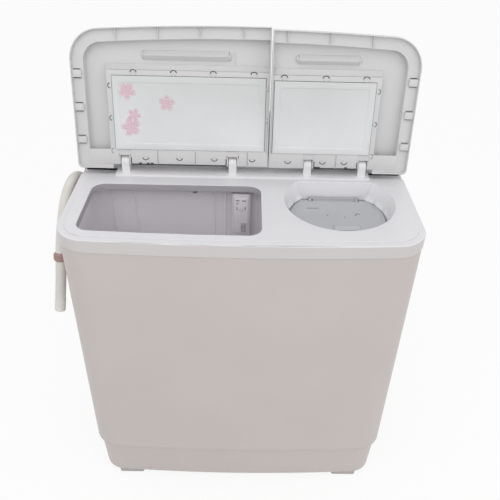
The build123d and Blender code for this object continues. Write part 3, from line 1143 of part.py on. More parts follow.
def on_slope(x):
    """The middle of the console's slope at a place across the width, with Z out of the panel."""
    y = (CONSOLE_FRONT_Y + CONSOLE_BACK_Y) / 2
    z = (CONSOLE_LIP_Z + CONSOLE_TOP_Z) / 2
    return Pos(x, y, z) * Rot(SLOPE_ANGLE, 0, 0)


def timer(x):
    """A clockwork timer under the panel, its bush through the panel's hole."""
    half = TIMER_SIZE / 2
    box = block(-half, half, -half, half, -WALL - TIMER_HEIGHT, -WALL)
    box = fillet(box.edges().filter_by(Axis.Z), KNOB_BUSH / 2)
    box += rod(0, 0, -WALL, 0, KNOB_BUSH)
    for side in (-1, 1):
        tab_x = side * half / 2
        box += block(tab_x - TIMER_TAB, tab_x + TIMER_TAB, -TIMER_TAB / 2, TIMER_TAB / 2,
                     -WALL - TIMER_HEIGHT - KNOB_BUSH, -WALL - TIMER_HEIGHT)
    return on_slope(x) * (box - rod(0, 0, -TIMER_HEIGHT, 0, KNOB_SHAFT + RUNNING_GAP))


def knob(x, depth):
    """A fluted knob with a pointer rib and its shaft, reaching a depth under the panel."""
    base = rod(0, 0, SEAT_GAP, KNOB_SKIRT, KNOB_RADIUS)
    base = fillet(base.edges().group_by(Axis.Z)[-1], KNOB_SKIRT / 3)
    grip = loft([Pos(0, 0, KNOB_SKIRT) * Circle(GRIP_FOOT), Pos(0, 0, KNOB_HEIGHT) * Circle(GRIP_TOP)])
    grip = fillet(grip.edges().group_by(Axis.Z)[-1], KNOB_SKIRT / 4)
    for i in range(KNOB_FLUTES):
        flute = rod(FLUTE_REACH, 0, KNOB_SKIRT, KNOB_HEIGHT + KNOB_FLUTE, KNOB_FLUTE)
        grip -= Rot(0, 0, (i + 0.5) * 360 / KNOB_FLUTES) * flute
    rib = block(-KNOB_RIB / 2, KNOB_RIB / 2, 0, RIB_REACH, KNOB_SKIRT, KNOB_HEIGHT)
    return on_slope(x) * (base + grip + rib + rod(0, 0, -depth, SEAT_GAP, KNOB_SHAFT))


def drain_crank():
    """The arm on the drain selector's shaft that lifts the valve's rod."""
    z0, z1 = -CRANK_DROP - CRANK_THICK, -CRANK_DROP
    arm = rod(0, 0, z0, z1, KNOB_BUSH) + rod(-CRANK_ARM, 0, z0, z1, CRANK_TIP)
    arm += block(-CRANK_ARM, 0, -CRANK_TIP, CRANK_TIP, z0, z1)
    return on_slope(DRAIN_SELECTOR_X) * (arm - rod(0, 0, z0, z1, KNOB_SHAFT + PIN_GAP))


def fill_selector():
    """The water inlet valve: a box under the panel, a tail out of the console and a spout to the tub."""
    x = FILL_SELECTOR_X
    half = TIMER_SIZE / 2 - WALL
    box = block(-half, half, -half, half, -WALL - TIMER_HEIGHT, -WALL) + rod(0, 0, -WALL, 0, KNOB_BUSH)
    valve = on_slope(x) * box
    side = SPOUT_RADIUS + WALL
    valve += block(x - side, x + side, SPOUT_Y - side, INLET_Y + INLET_RADIUS,
                   INLET_CROSS_Z - side, INLET_CROSS_Z + side)
    collar_z = CONSOLE_TOP_Z + SEAT_GAP
    tail_z = collar_z + INLET_COLLAR
    top_z = tail_z + INLET_TAIL
    valve += rod(x, INLET_Y, INLET_CROSS_Z, collar_z, INLET_RADIUS - SPOUT_WALL / 2)
    valve += rod(x, INLET_Y, collar_z, tail_z, INLET_RADIUS + INLET_COLLAR)
    valve += rod(x, INLET_Y, tail_z, top_z, INLET_RADIUS)
    valve += rod(x, SPOUT_Y, FILL_SPOUT_Z, INLET_CROSS_Z, SPOUT_RADIUS)
    valve += Pos(x, SPOUT_Y, FILL_SPOUT_Z) * Sphere(SPOUT_RADIUS)
    valve += bar((x, SPOUT_Y, FILL_SPOUT_Z), (x, TUB_REAR - WALL, FILL_SPOUT_Z), SPOUT_RADIUS)
    valve -= bar((x, SPOUT_Y, FILL_SPOUT_Z), (x, TUB_REAR - WALL, FILL_SPOUT_Z), SPOUT_RADIUS - SPOUT_WALL)
    valve -= rod(x, SPOUT_Y, FILL_SPOUT_Z, INLET_CROSS_Z, SPOUT_RADIUS - SPOUT_WALL)
    valve -= on_slope(x) * rod(0, 0, -TIMER_HEIGHT, 0, KNOB_SHAFT + RUNNING_GAP)
    return valve - rod(x, INLET_Y, INLET_CROSS_Z, top_z, INLET_RADIUS - SPOUT_WALL)


def bar(start, end, radius):
    """A cylinder between two points."""
    a, b = Vector(*start), Vector(*end)
    return Plane(a, z_dir=b - a) * Cylinder(radius, (b - a).length, align=(Align.CENTER, Align.CENTER, Align.MIN))


def drain_valve_body():
    """The drain valve: a chamber with a seat, and the two pipes up to the tubs' drains."""
    x, y, half = VALVE_X, VALVE_Y, VALVE_SIZE / 2
    top = VALVE_BOTTOM_Z + VALVE_HEIGHT
    body = rounded_block(x - half, x + half, y - half, y + half, VALVE_BOTTOM_Z, top, WALL * 2)
    drains = ((TUB_DRAIN_X, TUB_DRAIN_Y, TUB_UNDER_Z), (SPIN_DRAIN_X, SPIN_DRAIN_Y, SPIN_UNDER_Z))
    ports = ((x - half / 2, y), (x + half / 2, y))
    for (dx, dy, dz), (px, py) in zip(drains, ports):
        body += rod(dx, dy, VALVE_PORT_Z, dz, PIPE_RADIUS)
        body += Pos(dx, dy, VALVE_PORT_Z) * Sphere(PIPE_RADIUS)
        body += bar((dx, dy, VALVE_PORT_Z), (px, py, VALVE_PORT_Z), PIPE_RADIUS)
    body += rod(SPIN_DRAIN_X, SPIN_DRAIN_Y, SPIN_UNDER_Z - WALL, SPIN_UNDER_Z, PIPE_RADIUS + 2 * WALL)
    for (dx, dy, dz), (px, py) in zip(drains, ports):
        body -= rod(dx, dy, VALVE_PORT_Z, dz, PIPE_RADIUS - WALL)
        body -= Pos(dx, dy, VALVE_PORT_Z) * Sphere(PIPE_RADIUS - WALL)
        body -= bar((dx, dy, VALVE_PORT_Z), (px, py, VALVE_PORT_Z), PIPE_RADIUS - WALL)
    body -= rod(x, y, VALVE_SEAT_Z, top - 2 * WALL, half - 2 * WALL)
    body -= rod(x, y, VALVE_BOTTOM_Z + WALL, VALVE_SEAT_Z, SEAT_BORE)
    body -= bar((x, y, VALVE_OUTLET_Z), (x - half, y, VALVE_OUTLET_Z), OUTLET_BORE)
    return body - rod(x, y, top - 2 * WALL, top, STEM_RADIUS + RUNNING_GAP)


def drain_valve_plug():
    """The rubber plug on its stem, resting on the valve's seat."""
    z0 = VALVE_SEAT_Z + SEAT_GAP
    plug = rod(VALVE_X, VALVE_Y, z0, z0 + PLUG_HEIGHT, PLUG_RADIUS)
    plug = fillet(plug.edges().group_by(Axis.Z)[0], PLUG_HEIGHT / 4)
    return plug + rod(VALVE_X, VALVE_Y, z0 + PLUG_HEIGHT, STEM_TOP_Z, STEM_RADIUS)


def drain_pull_rod():
    """The wire from the plug's stem up to the selector's crank, hooked at its top."""
    wire = rod(VALVE_X, VALVE_Y, STEM_TOP_Z, ROD_TOP_Z, ROD_RADIUS)
    hook_end = (VALVE_X + HOOK_REACH, VALVE_Y, ROD_TOP_Z)
    return wire + bar((VALVE_X - HOOK_REACH, VALVE_Y, ROD_TOP_Z), hook_end, ROD_RADIUS)


def run_radii(points):
    """The bend radius at each inner point of a route."""
    radii = []
    for before, here, after in zip(points, points[1:], points[2:]):
        a = Vector(*here) - Vector(*before)
        b = Vector(*after) - Vector(*here)
        turn = math.radians(a.get_angle(b))
        radii.append(BEND_SHARE * min(a.length, b.length) / math.tan(turn / 2))
    return radii


def pipe(points, outer, inner, bend=None):
    """A round pipe along a route of straight runs joined by tangent arcs."""
    radii = run_radii(points) if bend is None else bend
    route = FilletPolyline(*points, radius=radii)
    ring = Plane(route @ 0, z_dir=route % 0) * (Circle(outer) - Circle(inner))
    print(len(points), "points, length", round(route.length, 1), "radii", [round(r, 1) for r in run_radii(points)])
    tube = sweep(ring, route)
    print("volume", round(tube.volume / (route.length * math.pi * (outer ** 2 - inner ** 2)), 3))
    return tube


def drain_pipe():
    """The flexible pipe inside, from the valve's outlet to the elbow in the tray's side."""
    return pipe(DRAIN_ROUTE, PIPE_RADIUS, PIPE_RADIUS - WALL)


def drain_outlet_elbow():
    """The moulded elbow through the tray's side, turned up to the hose."""
    points = ((ELBOW_INNER_X, ELBOW_Y, ELBOW_Z), (ELBOW_X, ELBOW_Y, ELBOW_Z), HOSE_ROUTE[0])
    elbow = pipe(points, PIPE_RADIUS, PIPE_RADIUS - WALL, [ELBOW_BEND])
    return elbow + elbow_flange()


def elbow_flange():
    """The elbow's collar against the tray's outer side."""
    start = (ELBOW_FLANGE_X - WALL, ELBOW_Y, ELBOW_Z)
    end = (ELBOW_FLANGE_X, ELBOW_Y, ELBOW_Z)
    return bar(start, end, PIPE_RADIUS + 2 * WALL) - bar(start, end, PIPE_RADIUS - WALL)


def drain_hose():
    """The drain hose outside, up the side, hooked over and hanging by its clip."""
    return pipe(HOSE_ROUTE, HOSE_RADIUS, HOSE_RADIUS - HOSE_WALL)


def hose_clip():
    """The clip on the cabinet's side that holds the hose's hanging end."""
    above, below = Vector(*HOSE_ROUTE[-3]), Vector(*HOSE_ROUTE[-2])
    middle = (above + below) / 2
    place = Plane(middle, x_dir=(1, 0, 0), z_dir=above - below)
    ring = place * rod(0, 0, -CLIP_BAND / 2, CLIP_BAND / 2, HOSE_RADIUS + CLIP_WALL)
    ring += place * block(-HOSE_RADIUS - CLIP_TONGUE, -HOSE_RADIUS, -CLIP_WALL, CLIP_WALL,
                          -CLIP_BAND / 2, CLIP_BAND / 2)
    drop = (BAND_BOTTOM - middle.Z) / (BAND_BOTTOM - PLINTH_TOP)
    side = -HALF + CABINET_TOP_INSET + CABINET_TAPER * drop - SEAT_GAP
    ring += block(middle.X, side, middle.Y - CLIP_BAND / 2, middle.Y + CLIP_BAND / 2,
                  middle.Z - CLIP_BAND / 3, middle.Z + CLIP_BAND / 3)
    return ring - place * rod(0, 0, -2 * CLIP_BAND, 2 * CLIP_BAND, HOSE_RADIUS + PIN_GAP)


def wiring_harness():
    """The two leads from the timers down to the motors."""
    leads = []
    for points in (SPIN_LEAD, WASH_LEAD):
        route = FilletPolyline(*points, radius=run_radii(points))
        leads.append(sweep(Plane(route @ 0, z_dir=route % 0) * Circle(LEAD_RADIUS), route))
    return Compound(leads)


def build():
    """Makes every piece and writes it."""
    wash_sides = (1, -1)
    spin_sides = (1, -1)
    wash_lid = lid_shell(-HALF, LID_LEFT_END, 0, LID_WALL_TRIM, (-MIDDLE_HALF, LID_LEFT_END), WASH_WINDOW,
                         WASH_HANDLE, WASH_RIBS, WASH_POSTS, wash_sides)
    spin_lid = lid_shell(LID_RIGHT_START, HALF, LID_WALL_TRIM, 0, (LID_RIGHT_START, MIDDLE_HALF), SPIN_WINDOW,
                         SPIN_HANDLE, SPIN_RIBS, SPIN_POSTS, spin_sides)
    pieces = {
        "base_tray": base_tray(),
        "feet": feet(),
        "cabinet": cabinet(),
        "rear_panel": rear_panel(),
        "case_screws": case_screws(),
        "cord_gland": cord_gland(),
        "top_deck": top_deck(),
        "wash_lid": opened(wash_lid, WASH_LID_OPEN),
        "wash_lid_pins": opened(lid_pins(WASH_POSTS, wash_sides), WASH_LID_OPEN),
        "wash_lid_window": opened(lid_pane(WASH_WINDOW), WASH_LID_OPEN),
        "wash_lid_inner_plate": opened(lid_plate(WASH_WINDOW), WASH_LID_OPEN),
        "spin_lid": opened(spin_lid, SPIN_LID_OPEN),
        "spin_lid_pins": opened(lid_pins(SPIN_POSTS, spin_sides), SPIN_LID_OPEN),
        "spin_lid_window": opened(lid_pane(SPIN_WINDOW), SPIN_LID_OPEN),
        "spin_lid_inner_plate": opened(lid_plate(SPIN_WINDOW), SPIN_LID_OPEN),
        "lid_bumpers": lid_bumpers(),
        "spin_safety_cover": spin_safety_cover(),
        "safety_cover_pins": safety_cover_pins(),
        "control_console": control_console(),
        "wash_timer": timer(WASH_TIMER_X),
        "spin_timer": timer(SPIN_TIMER_X),
        "wash_timer_knob": knob(WASH_TIMER_X, KNOB_DEPTH),
        "spin_timer_knob": knob(SPIN_TIMER_X, KNOB_DEPTH),
        "fill_selector": fill_selector(),
        "fill_selector_knob": knob(FILL_SELECTOR_X, KNOB_DEPTH),
        "drain_selector_knob": knob(DRAIN_SELECTOR_X, CRANK_DROP + CRANK_THICK),
        "drain_crank": drain_crank(),
        "wash_tub": wash_tub(),
        "filter_housing": filter_housing(),
        "lint_filter": lint_filter(),
        "drain_strainer": drain_strainer(),
        "pulsator": pulsator(),
        "pulsator_screw": pulsator_screw(),
        "pulsator_shaft": pulsator_shaft(),
        "shaft_seal": shaft_seal(),
        "gearbox_housing": gearbox_housing(),
        "gearbox_pulley": gearbox_pulley(),
        "drive_belt": drive_belt(),
        "wash_motor": wash_motor(),
        "wash_motor_pulley": wash_motor_pulley(),
        "drive_bracket": drive_bracket(),
        "bracket_bolts": bracket_bolts(),
        "capacitor": capacitor(),
        "spin_outer_tub": spin_outer_tub(),
        "spin_basket": spin_basket(),
        "spin_shaft": spin_shaft(),
        "spin_bellows": spin_bellows(),
        "spin_bearing": spin_bearing(),
        "brake_disc": brake_disc(),
        "brake_lever": brake_lever(),
        "spin_motor": spin_motor(),
        "motor_cushions": motor_cushions(),
        "drain_valve_body": drain_valve_body(),
        "drain_valve_plug": drain_valve_plug(),
        "drain_pull_rod": drain_pull_rod(),
        "drain_pipe": drain_pipe(),
        "drain_outlet_elbow": drain_outlet_elbow(),
        "drain_hose": drain_hose(),
        "hose_clip": hose_clip(),
        "wiring_harness": wiring_harness(),
    }
    for name, shape in pieces.items():
        save(shape, name)


build()
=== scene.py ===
import json
import math

import bmesh
import bpy
from mathutils import Matrix, Vector
from mathutils.bvhtree import BVHTree


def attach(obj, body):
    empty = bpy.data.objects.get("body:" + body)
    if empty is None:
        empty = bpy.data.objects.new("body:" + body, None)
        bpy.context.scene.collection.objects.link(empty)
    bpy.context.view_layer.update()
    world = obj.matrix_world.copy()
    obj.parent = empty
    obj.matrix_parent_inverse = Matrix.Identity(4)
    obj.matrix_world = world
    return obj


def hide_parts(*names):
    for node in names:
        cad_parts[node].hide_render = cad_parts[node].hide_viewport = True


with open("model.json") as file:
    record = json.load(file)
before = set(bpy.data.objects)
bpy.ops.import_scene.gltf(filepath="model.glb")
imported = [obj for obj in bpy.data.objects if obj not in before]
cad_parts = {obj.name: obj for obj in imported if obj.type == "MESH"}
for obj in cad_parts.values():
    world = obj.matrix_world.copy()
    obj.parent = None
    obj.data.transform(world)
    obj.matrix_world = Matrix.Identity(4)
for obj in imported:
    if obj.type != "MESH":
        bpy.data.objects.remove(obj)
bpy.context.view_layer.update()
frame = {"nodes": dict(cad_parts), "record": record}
nodes = frame["nodes"]
bpy.ops.object.select_all(action="DESELECT")

# The viewpoint: a hand-held camera in front of the machine, above the deck
# and tipped down about 35 degrees, level to within a degree and a half.
eye = Vector((0.002319, -1.130451, 1.416467))
yaw, pitch, roll = 0.015183, 0.615615, 0.026963
ahead = Vector((math.sin(yaw) * math.cos(pitch), math.cos(yaw) * math.cos(pitch), -math.sin(pitch)))
across = ahead.cross(Vector((0, 0, 1))).normalized()
upward = across.cross(ahead)
right = across * math.cos(roll) + upward * math.sin(roll)
up = upward * math.cos(roll) - across * math.sin(roll)
lens = bpy.data.cameras.new("viewpoint")
lens.sensor_width = 36.0
focal_pixels, picture_pixels = 592.032, 500
lens.lens = focal_pixels / picture_pixels * 36.0
lens.clip_start, lens.clip_end = 0.05, 40.0
viewpoint = bpy.data.objects.new("viewpoint", lens)
bpy.context.scene.collection.objects.link(viewpoint)
turn = Matrix((right, up, -ahead)).transposed().to_4x4()
viewpoint.matrix_world = Matrix.Translation(eye) @ turn
bpy.context.scene.camera = viewpoint


# The floor and the light: a plain white studio, one wide soft lamp overhead,
# a lower one from the right in front, and a bright surround for the gloss.
class Wire:
    """One socket of a finish, which sums and multiplies like a number."""

    def __init__(self, finish, socket):
        self.finish, self.socket = finish, socket

    def join(self, operation, first, second):
        return self.finish.add("ShaderNodeMath", {"operation": operation}, {0: first, 1: second})

    def __add__(self, other):
        return self.join("ADD", self, other)

    def __radd__(self, other):
        return self.join("ADD", other, self)

    def __mul__(self, other):
        return self.join("MULTIPLY", self, other)

    def __rmul__(self, other):
        return self.join("MULTIPLY", other, self)


class Finish:
    """A material that is built up node by node."""

    def __init__(self, name):
        self.material = bpy.data.materials.new(name)
        self.material.use_nodes = True
        self.tree = self.material.node_tree
        self.tree.nodes.clear()

    def add(self, kind, settings=None, values=None, out=0):
        node = self.tree.nodes.new(kind)
        for name, value in (settings or {}).items():
            setattr(node, name, value)
        for name, value in (values or {}).items():
            if isinstance(value, Wire):
                self.tree.links.new(value.socket, node.inputs[name])
            else:
                node.inputs[name].default_value = value
        return Wire(self, node.outputs[out]) if len(node.outputs) else None

    def place(self):
        return self.add("ShaderNodeTexCoord", out="Object")

    def noise(self, scale, detail=3.0, where=None):
        return self.add("ShaderNodeTexNoise", None,
                        {"Vector": where or self.place(), "Scale": scale, "Detail": detail})

    def ramp(self, value, low, high):
        return self.add("ShaderNodeMapRange", {"interpolation_type": "SMOOTHSTEP"},
                        {"Value": value, "From Min": low, "From Max": high})

    def blend(self, factor, first, second):
        return self.add("ShaderNodeMix", {"data_type": "RGBA"}, {0: factor, 6: first, 7: second}, out=2)

    def bump(self, strength, distance, height):
        return self.add("ShaderNodeBump", None,
                        {"Strength": strength, "Distance": distance, "Height": height})

    def done(self, shader):
        self.add("ShaderNodeOutputMaterial", None, {"Surface": shader})
        return self.material


floor_width = 16
glow_share = 0.88
air_strength = 0.80
bpy.ops.mesh.primitive_plane_add(size=1, location=(0, 0, 0))
floor = bpy.context.object
floor.name = "studio_floor"
bpy.ops.object.mode_set(mode="EDIT")
bpy.ops.mesh.select_all(action="SELECT")
bpy.ops.transform.resize(value=(floor_width, floor_width, 1))
bpy.ops.object.mode_set(mode="OBJECT")
paper = Finish("studio_paper")
seen = paper.add("ShaderNodeLightPath", out="Is Camera Ray")
mirrored = paper.add("ShaderNodeLightPath", out="Is Glossy Ray")
through = paper.add("ShaderNodeLightPath", out="Is Transmission Ray")
matt = paper.add("ShaderNodeBsdfDiffuse", None, {"Color": (0.86, 0.86, 0.86, 1)})
glow = paper.add("ShaderNodeEmission", None, {"Color": (1, 1, 1, 1), "Strength": 1.0})
share = (seen + mirrored + through) * glow_share
floor.data.materials.append(paper.done(paper.add("ShaderNodeMixShader", None, {0: share, 1: matt, 2: glow})))

world = bpy.data.worlds.new("studio_air")
bpy.context.scene.world = world
world.use_nodes = True
air = world.node_tree
rays = air.nodes.new("ShaderNodeLightPath")
shade = air.nodes["Background"]
shade.inputs["Color"].default_value = (1, 1, 1, 1)
bright = rays.outputs["Is Camera Ray"]
for kind in ("Is Glossy Ray", "Is Transmission Ray"):
    either = air.nodes.new("ShaderNodeMath")
    either.operation = "MAXIMUM"
    air.links.new(bright, either.inputs[0])
    air.links.new(rays.outputs[kind], either.inputs[1])
    bright = either.outputs[0]
level = air.nodes.new("ShaderNodeMapRange")
air.links.new(bright, level.inputs["Value"])
level.inputs["To Min"].default_value = air_strength
level.inputs["To Max"].default_value = 1.0
air.links.new(level.outputs[0], shade.inputs["Strength"])

for name, spot, size, power, aim in (
    ("overhead_lamp", (-0.2, -1.3, 2.5), 1.9, 15.0, (0.0, 0.0, 0.6)),
    ("front_lamp", (2.1, -2.1, 1.3), 2.0, 8.0, (0.1, 0.0, 0.5)),
):
    lamp = bpy.data.lights.new(name, "AREA")
    lamp.size, lamp.energy = size, power
    holder = bpy.data.objects.new(name, lamp)
    bpy.context.scene.collection.objects.link(holder)
    holder.location = spot
    holder.rotation_euler = (Vector(aim) - Vector(spot)).to_track_quat("-Z", "Y").to_euler()
bpy.context.scene.view_settings.view_transform = "Standard"


# The drain hose: soft grey corrugated tube pushed over the elbow low on the
# left side, bent over the deck's corner for storage and held there by a clip.
# The route repeats the control points that the machine was planned with.
hose_route = (
    (-0.386, 0.160, 0.150), (-0.386, 0.160, 0.250), (-0.390, 0.186, 0.400), (-0.386, 0.192, 0.542),
    (-0.386, 0.192, 0.655), (-0.388, 0.118, 0.752), (-0.389, 0.014, 0.764), (-0.390, -0.075, 0.694),
    (-0.397, -0.101, 0.598), (-0.407, -0.117, 0.526),
)
hose_radius = 0.012
hose_wall = 0.0022
cuff_reach = 0.03
rib_pitch = 0.0042
rib_top, rib_foot = 0.0003, 0.0011
bore_depth = 0.05
line = bpy.data.curves.new("drain_hose_line", "CURVE")
line.dimensions = "3D"
spline = line.splines.new("NURBS")
spline.points.add(len(hose_route) - 1)
for point, place in zip(spline.points, hose_route):
    point.co = (*place, 1.0)
spline.order_u = 3
spline.use_endpoint_u = True
spline.resolution_u = 48
guide = bpy.data.objects.new("drain_hose_line", line)
bpy.context.scene.collection.objects.link(guide)
bpy.context.view_layer.update()
drawn = bpy.data.meshes.new_from_object(guide.evaluated_get(bpy.context.evaluated_depsgraph_get()))
route = [vertex.co.copy() for vertex in drawn.vertices]
bpy.data.objects.remove(guide)
travel = [0.0]
for here, there in zip(route, route[1:]):
    travel.append(travel[-1] + (there - here).length)


def along_route(way):
    """The place and direction at a length along the hose's line."""
    step = max(i for i, done in enumerate(travel[:-1]) if done <= way)
    run = route[step + 1] - route[step]
    return route[step] + run.normalized() * (way - travel[step]), run.normalized()


rings = []
way = 0.0
while way <= travel[-1]:
    in_cuff = way < cuff_reach or way > travel[-1] - cuff_reach
    rings.append((way, hose_radius if in_cuff else hose_radius - rib_top))
    if not in_cuff:
        rings.append((way + rib_pitch * 0.5, hose_radius - rib_foot))
    way += rib_pitch
rings = [(0.0, hose_radius - hose_wall)] + rings
hose_end = travel[-1]
rings += [(hose_end, hose_radius), (hose_end, hose_radius - hose_wall),
          (hose_end - bore_depth, hose_radius - hose_wall)]
sides = 28
bpy.ops.mesh.primitive_circle_add(vertices=sides, radius=hose_radius, location=(0, 0, 0))
hose = bpy.context.object
hose.name = "drain_hose_tube"
place, ahead_now = along_route(0.0)
frame_side = ahead_now.orthogonal().normalized()
points, skins = [], []
for reach, radius in rings:
    place, ahead_now = along_route(min(reach, travel[-1] - 1e-6))
    frame_side = (frame_side - ahead_now * frame_side.dot(ahead_now)).normalized()
    other = ahead_now.cross(frame_side)
    for i in range(sides):
        turn = 2 * math.pi * i / sides
        points.append(place + (frame_side * math.cos(turn) + other * math.sin(turn)) * radius)
for ring in range(len(rings) - 1):
    for i in range(sides):
        j = (i + 1) % sides
        skins.append((ring * sides + i, ring * sides + j, (ring + 1) * sides + j, (ring + 1) * sides + i))
skins.append(tuple(reversed(range(sides))))
skins.append(tuple(range((len(rings) - 1) * sides, len(rings) * sides)))
hose.data.clear_geometry()
hose.data.from_pydata(points, [], skins)
hose.data.update()
bpy.ops.object.shade_smooth_by_angle(angle=math.radians(60))
soft_tube = Finish("soft_hose")
bloom = soft_tube.ramp(soft_tube.noise(14.0, 5.0), 0.35, 0.75)
tube_colour = soft_tube.blend(bloom, (0.660, 0.655, 0.615, 1), (0.760, 0.745, 0.710, 1))
tube_grain = soft_tube.bump(0.12, 0.0004, soft_tube.noise(700.0, 2.0))
hose.data.materials.append(soft_tube.done(soft_tube.add("ShaderNodeBsdfPrincipled", None, {
    "Base Color": tube_colour, "Roughness": bloom * 0.12 + 0.36, "Normal": tube_grain,
    "Subsurface Weight": 0.08, "Subsurface Scale": 0.01})))
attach(hose, "machine")
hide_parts("drain_hose")


# The clip of the hose: a round collar in soft brown plastic that grips the
# hanging end, with a short arm to the cabinet's side. It is painted further on.
above, below = Vector(hose_route[-3]), Vector(hose_route[-2])
collar_radius = 0.0142
collar_width = 0.022
collar_round = 0.0068
collar_lift = 0.006
arm_depth, arm_height, arm_round = 0.012, 0.010, 0.0015
cabinet_side = -0.3687
middle = (above + below) / 2 + (above - below).normalized() * collar_lift
bpy.ops.object.select_all(action="DESELECT")
bpy.ops.mesh.primitive_cube_add(size=1, location=((middle.x + cabinet_side) / 2, middle.y, middle.z),
                                scale=(cabinet_side - middle.x, arm_depth, arm_height))
arm = bpy.context.object
bpy.ops.object.transform_apply(location=True, rotation=True, scale=True)
bpy.ops.object.mode_set(mode="EDIT")
bpy.ops.mesh.select_all(action="SELECT")
bpy.ops.mesh.bevel(offset=arm_round, segments=2)
bpy.ops.object.mode_set(mode="OBJECT")
bpy.ops.object.select_all(action="DESELECT")
bpy.ops.mesh.primitive_cylinder_add(vertices=40, radius=collar_radius, depth=collar_width)
collar = bpy.context.object
collar.name = collar.data.name = "hose_clip_collar"
bpy.ops.object.mode_set(mode="EDIT")
bpy.ops.mesh.select_all(action="SELECT")
bpy.ops.mesh.bevel(offset=collar_round, segments=5)
bpy.ops.object.mode_set(mode="OBJECT")
along_hose = (above - below).to_track_quat("Z", "Y").to_matrix().to_4x4()
collar.data.transform(Matrix.Translation(middle) @ along_hose)
arm.select_set(True)
bpy.context.view_layer.objects.active = collar
bpy.ops.object.join()
bpy.ops.object.shade_smooth_by_angle(angle=math.radians(40))
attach(collar, "machine")
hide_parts("hose_clip")


# The base tray: a stepped tray moulded in the cabinet's colour, with a collar
# that the cabinet's foot is pushed over, and four harder feet under it.
body_bevel = 0.0009
panel_white = (0.556, 0.507, 0.489, 1)
foot_grey = (0.485, 0.445, 0.430, 1)
body_of = {node: body for body, members in frame["record"]["behaviour"]["bodies"].items() for node in members}


def moulded_plastic(name, colour, rough=0.36, grain=850.0, relief=0.10, shade=0.97, dust=0.03, uneven=0.03):
    """Moulded plastic: fine spark-eroded grain, faint flow clouds, soft dust and uneven gloss."""
    skin = Finish(name)
    flow = skin.ramp(skin.noise(5.5, 4.0), 0.30, 0.72)
    darker = tuple(part * shade for part in colour[:3]) + (1,)
    cloudy = skin.blend(flow, darker, colour)
    settled = skin.ramp(skin.noise(1.9, 7.0), 0.52, 0.86) * dust
    coloured = skin.blend(settled, cloudy, (0.62, 0.56, 0.47, 1))
    bump = skin.bump(relief, 0.0003, skin.noise(grain, 2.0))
    return skin.done(skin.add("ShaderNodeBsdfPrincipled", None, {
        "Base Color": coloured, "Roughness": flow * uneven + (rough - 0.5 * uneven), "Normal": bump,
        "Specular IOR Level": 0.42}))


def paint(piece, material):
    """Gives a piece, or one of the frame's nodes, its finish."""
    for slot in range(len(piece.material_slots)):
        piece.material_slots[slot].material = material
    if not piece.material_slots:
        piece.data.materials.append(material)


def extra_finish(piece, name, colour, **look):
    """Adds one more plastic to a piece, and gives its number for the faces that wear it."""
    piece.data.materials.append(moulded_plastic(name, colour, **look))
    return len(piece.data.materials) - 1


def sharp_lines(piece, corner, kept_sharp, clear):
    """Marks the edges to be rounded: the sharp outer ones, apart from those at the places to keep sharp."""
    form = bmesh.new()
    form.from_mesh(piece.data)
    share = form.edges.layers.float.new("bevel_weight_edge")
    for edge in form.edges:
        if edge.is_manifold and edge.is_convex and edge.calc_face_angle(0.0) > math.radians(corner):
            beside = any((point.co - place).length < clear for point in edge.verts for place in kept_sharp)
            edge[share] = 0.0 if beside else 1.0
    form.to_mesh(piece.data)
    form.free()


def thrown(piece, form, reach):
    """The points that a rounding threw further than it reaches, and their neighbours' places."""
    points = piece.data.vertices
    stray = {point.index for point in points if form.find_nearest(point.co)[3] > reach}
    beside = set()
    for edge in piece.data.edges:
        first, second = edge.vertices
        if (first in stray) != (second in stray):
            beside.add(second if first in stray else first)
    return stray, [points[index].co.copy() for index in beside]


def rounded(piece, width, segments=2, corner=30):
    """Rounds a moulding's edges, and leaves sharp the few corners where the rounding would fly off."""
    bare = piece.data.copy()
    places = [point.co for point in bare.vertices]
    form = BVHTree.FromPolygons(places, [tuple(face.vertices) for face in bare.polygons])
    kept_sharp = []
    for _ in range(5):
        piece.data = bare.copy()
        sharp_lines(piece, corner, kept_sharp, 3 * width)
        soften = piece.modifiers.new("rounded", "BEVEL")
        soften.width, soften.segments = width, segments
        soften.limit_method = "WEIGHT"
        soften.use_clamp_overlap = soften.loop_slide = False
        bpy.ops.object.modifier_apply(modifier="rounded")
        stray, beside = thrown(piece, form, 1.3 * width)
        if not stray:
            break
        kept_sharp += beside
        kept_sharp += [form.find_nearest(piece.data.vertices[index].co)[0] for index in stray]


def flat_regions(piece, fewest=5, level=0.012):
    """Gives every corner of a large flat region the region's own normal, so that it shades evenly."""
    normals = [corner.vector.copy() for corner in piece.data.corner_normals]
    form = bmesh.new()
    form.from_mesh(piece.data)
    form.faces.ensure_lookup_table()
    seen = set()
    for start in form.faces:
        if start.index in seen:
            continue
        seen.add(start.index)
        region, ahead = [], [start]
        while ahead:
            face = ahead.pop()
            region.append(face)
            for edge in face.edges:
                for other in edge.link_faces:
                    if other.index not in seen and edge.is_manifold and edge.calc_face_angle(1.0) < level:
                        seen.add(other.index)
                        ahead.append(other)
        if len(region) >= fewest:
            for face in region:
                for loop in piece.data.polygons[face.index].loop_indices:
                    normals[loop] = face.normal.copy()
    form.free()
    piece.data.normals_split_custom_set(normals)


weld_gap = 0.00002
flat_angle, smooth_angle = math.radians(0.6), math.radians(38)


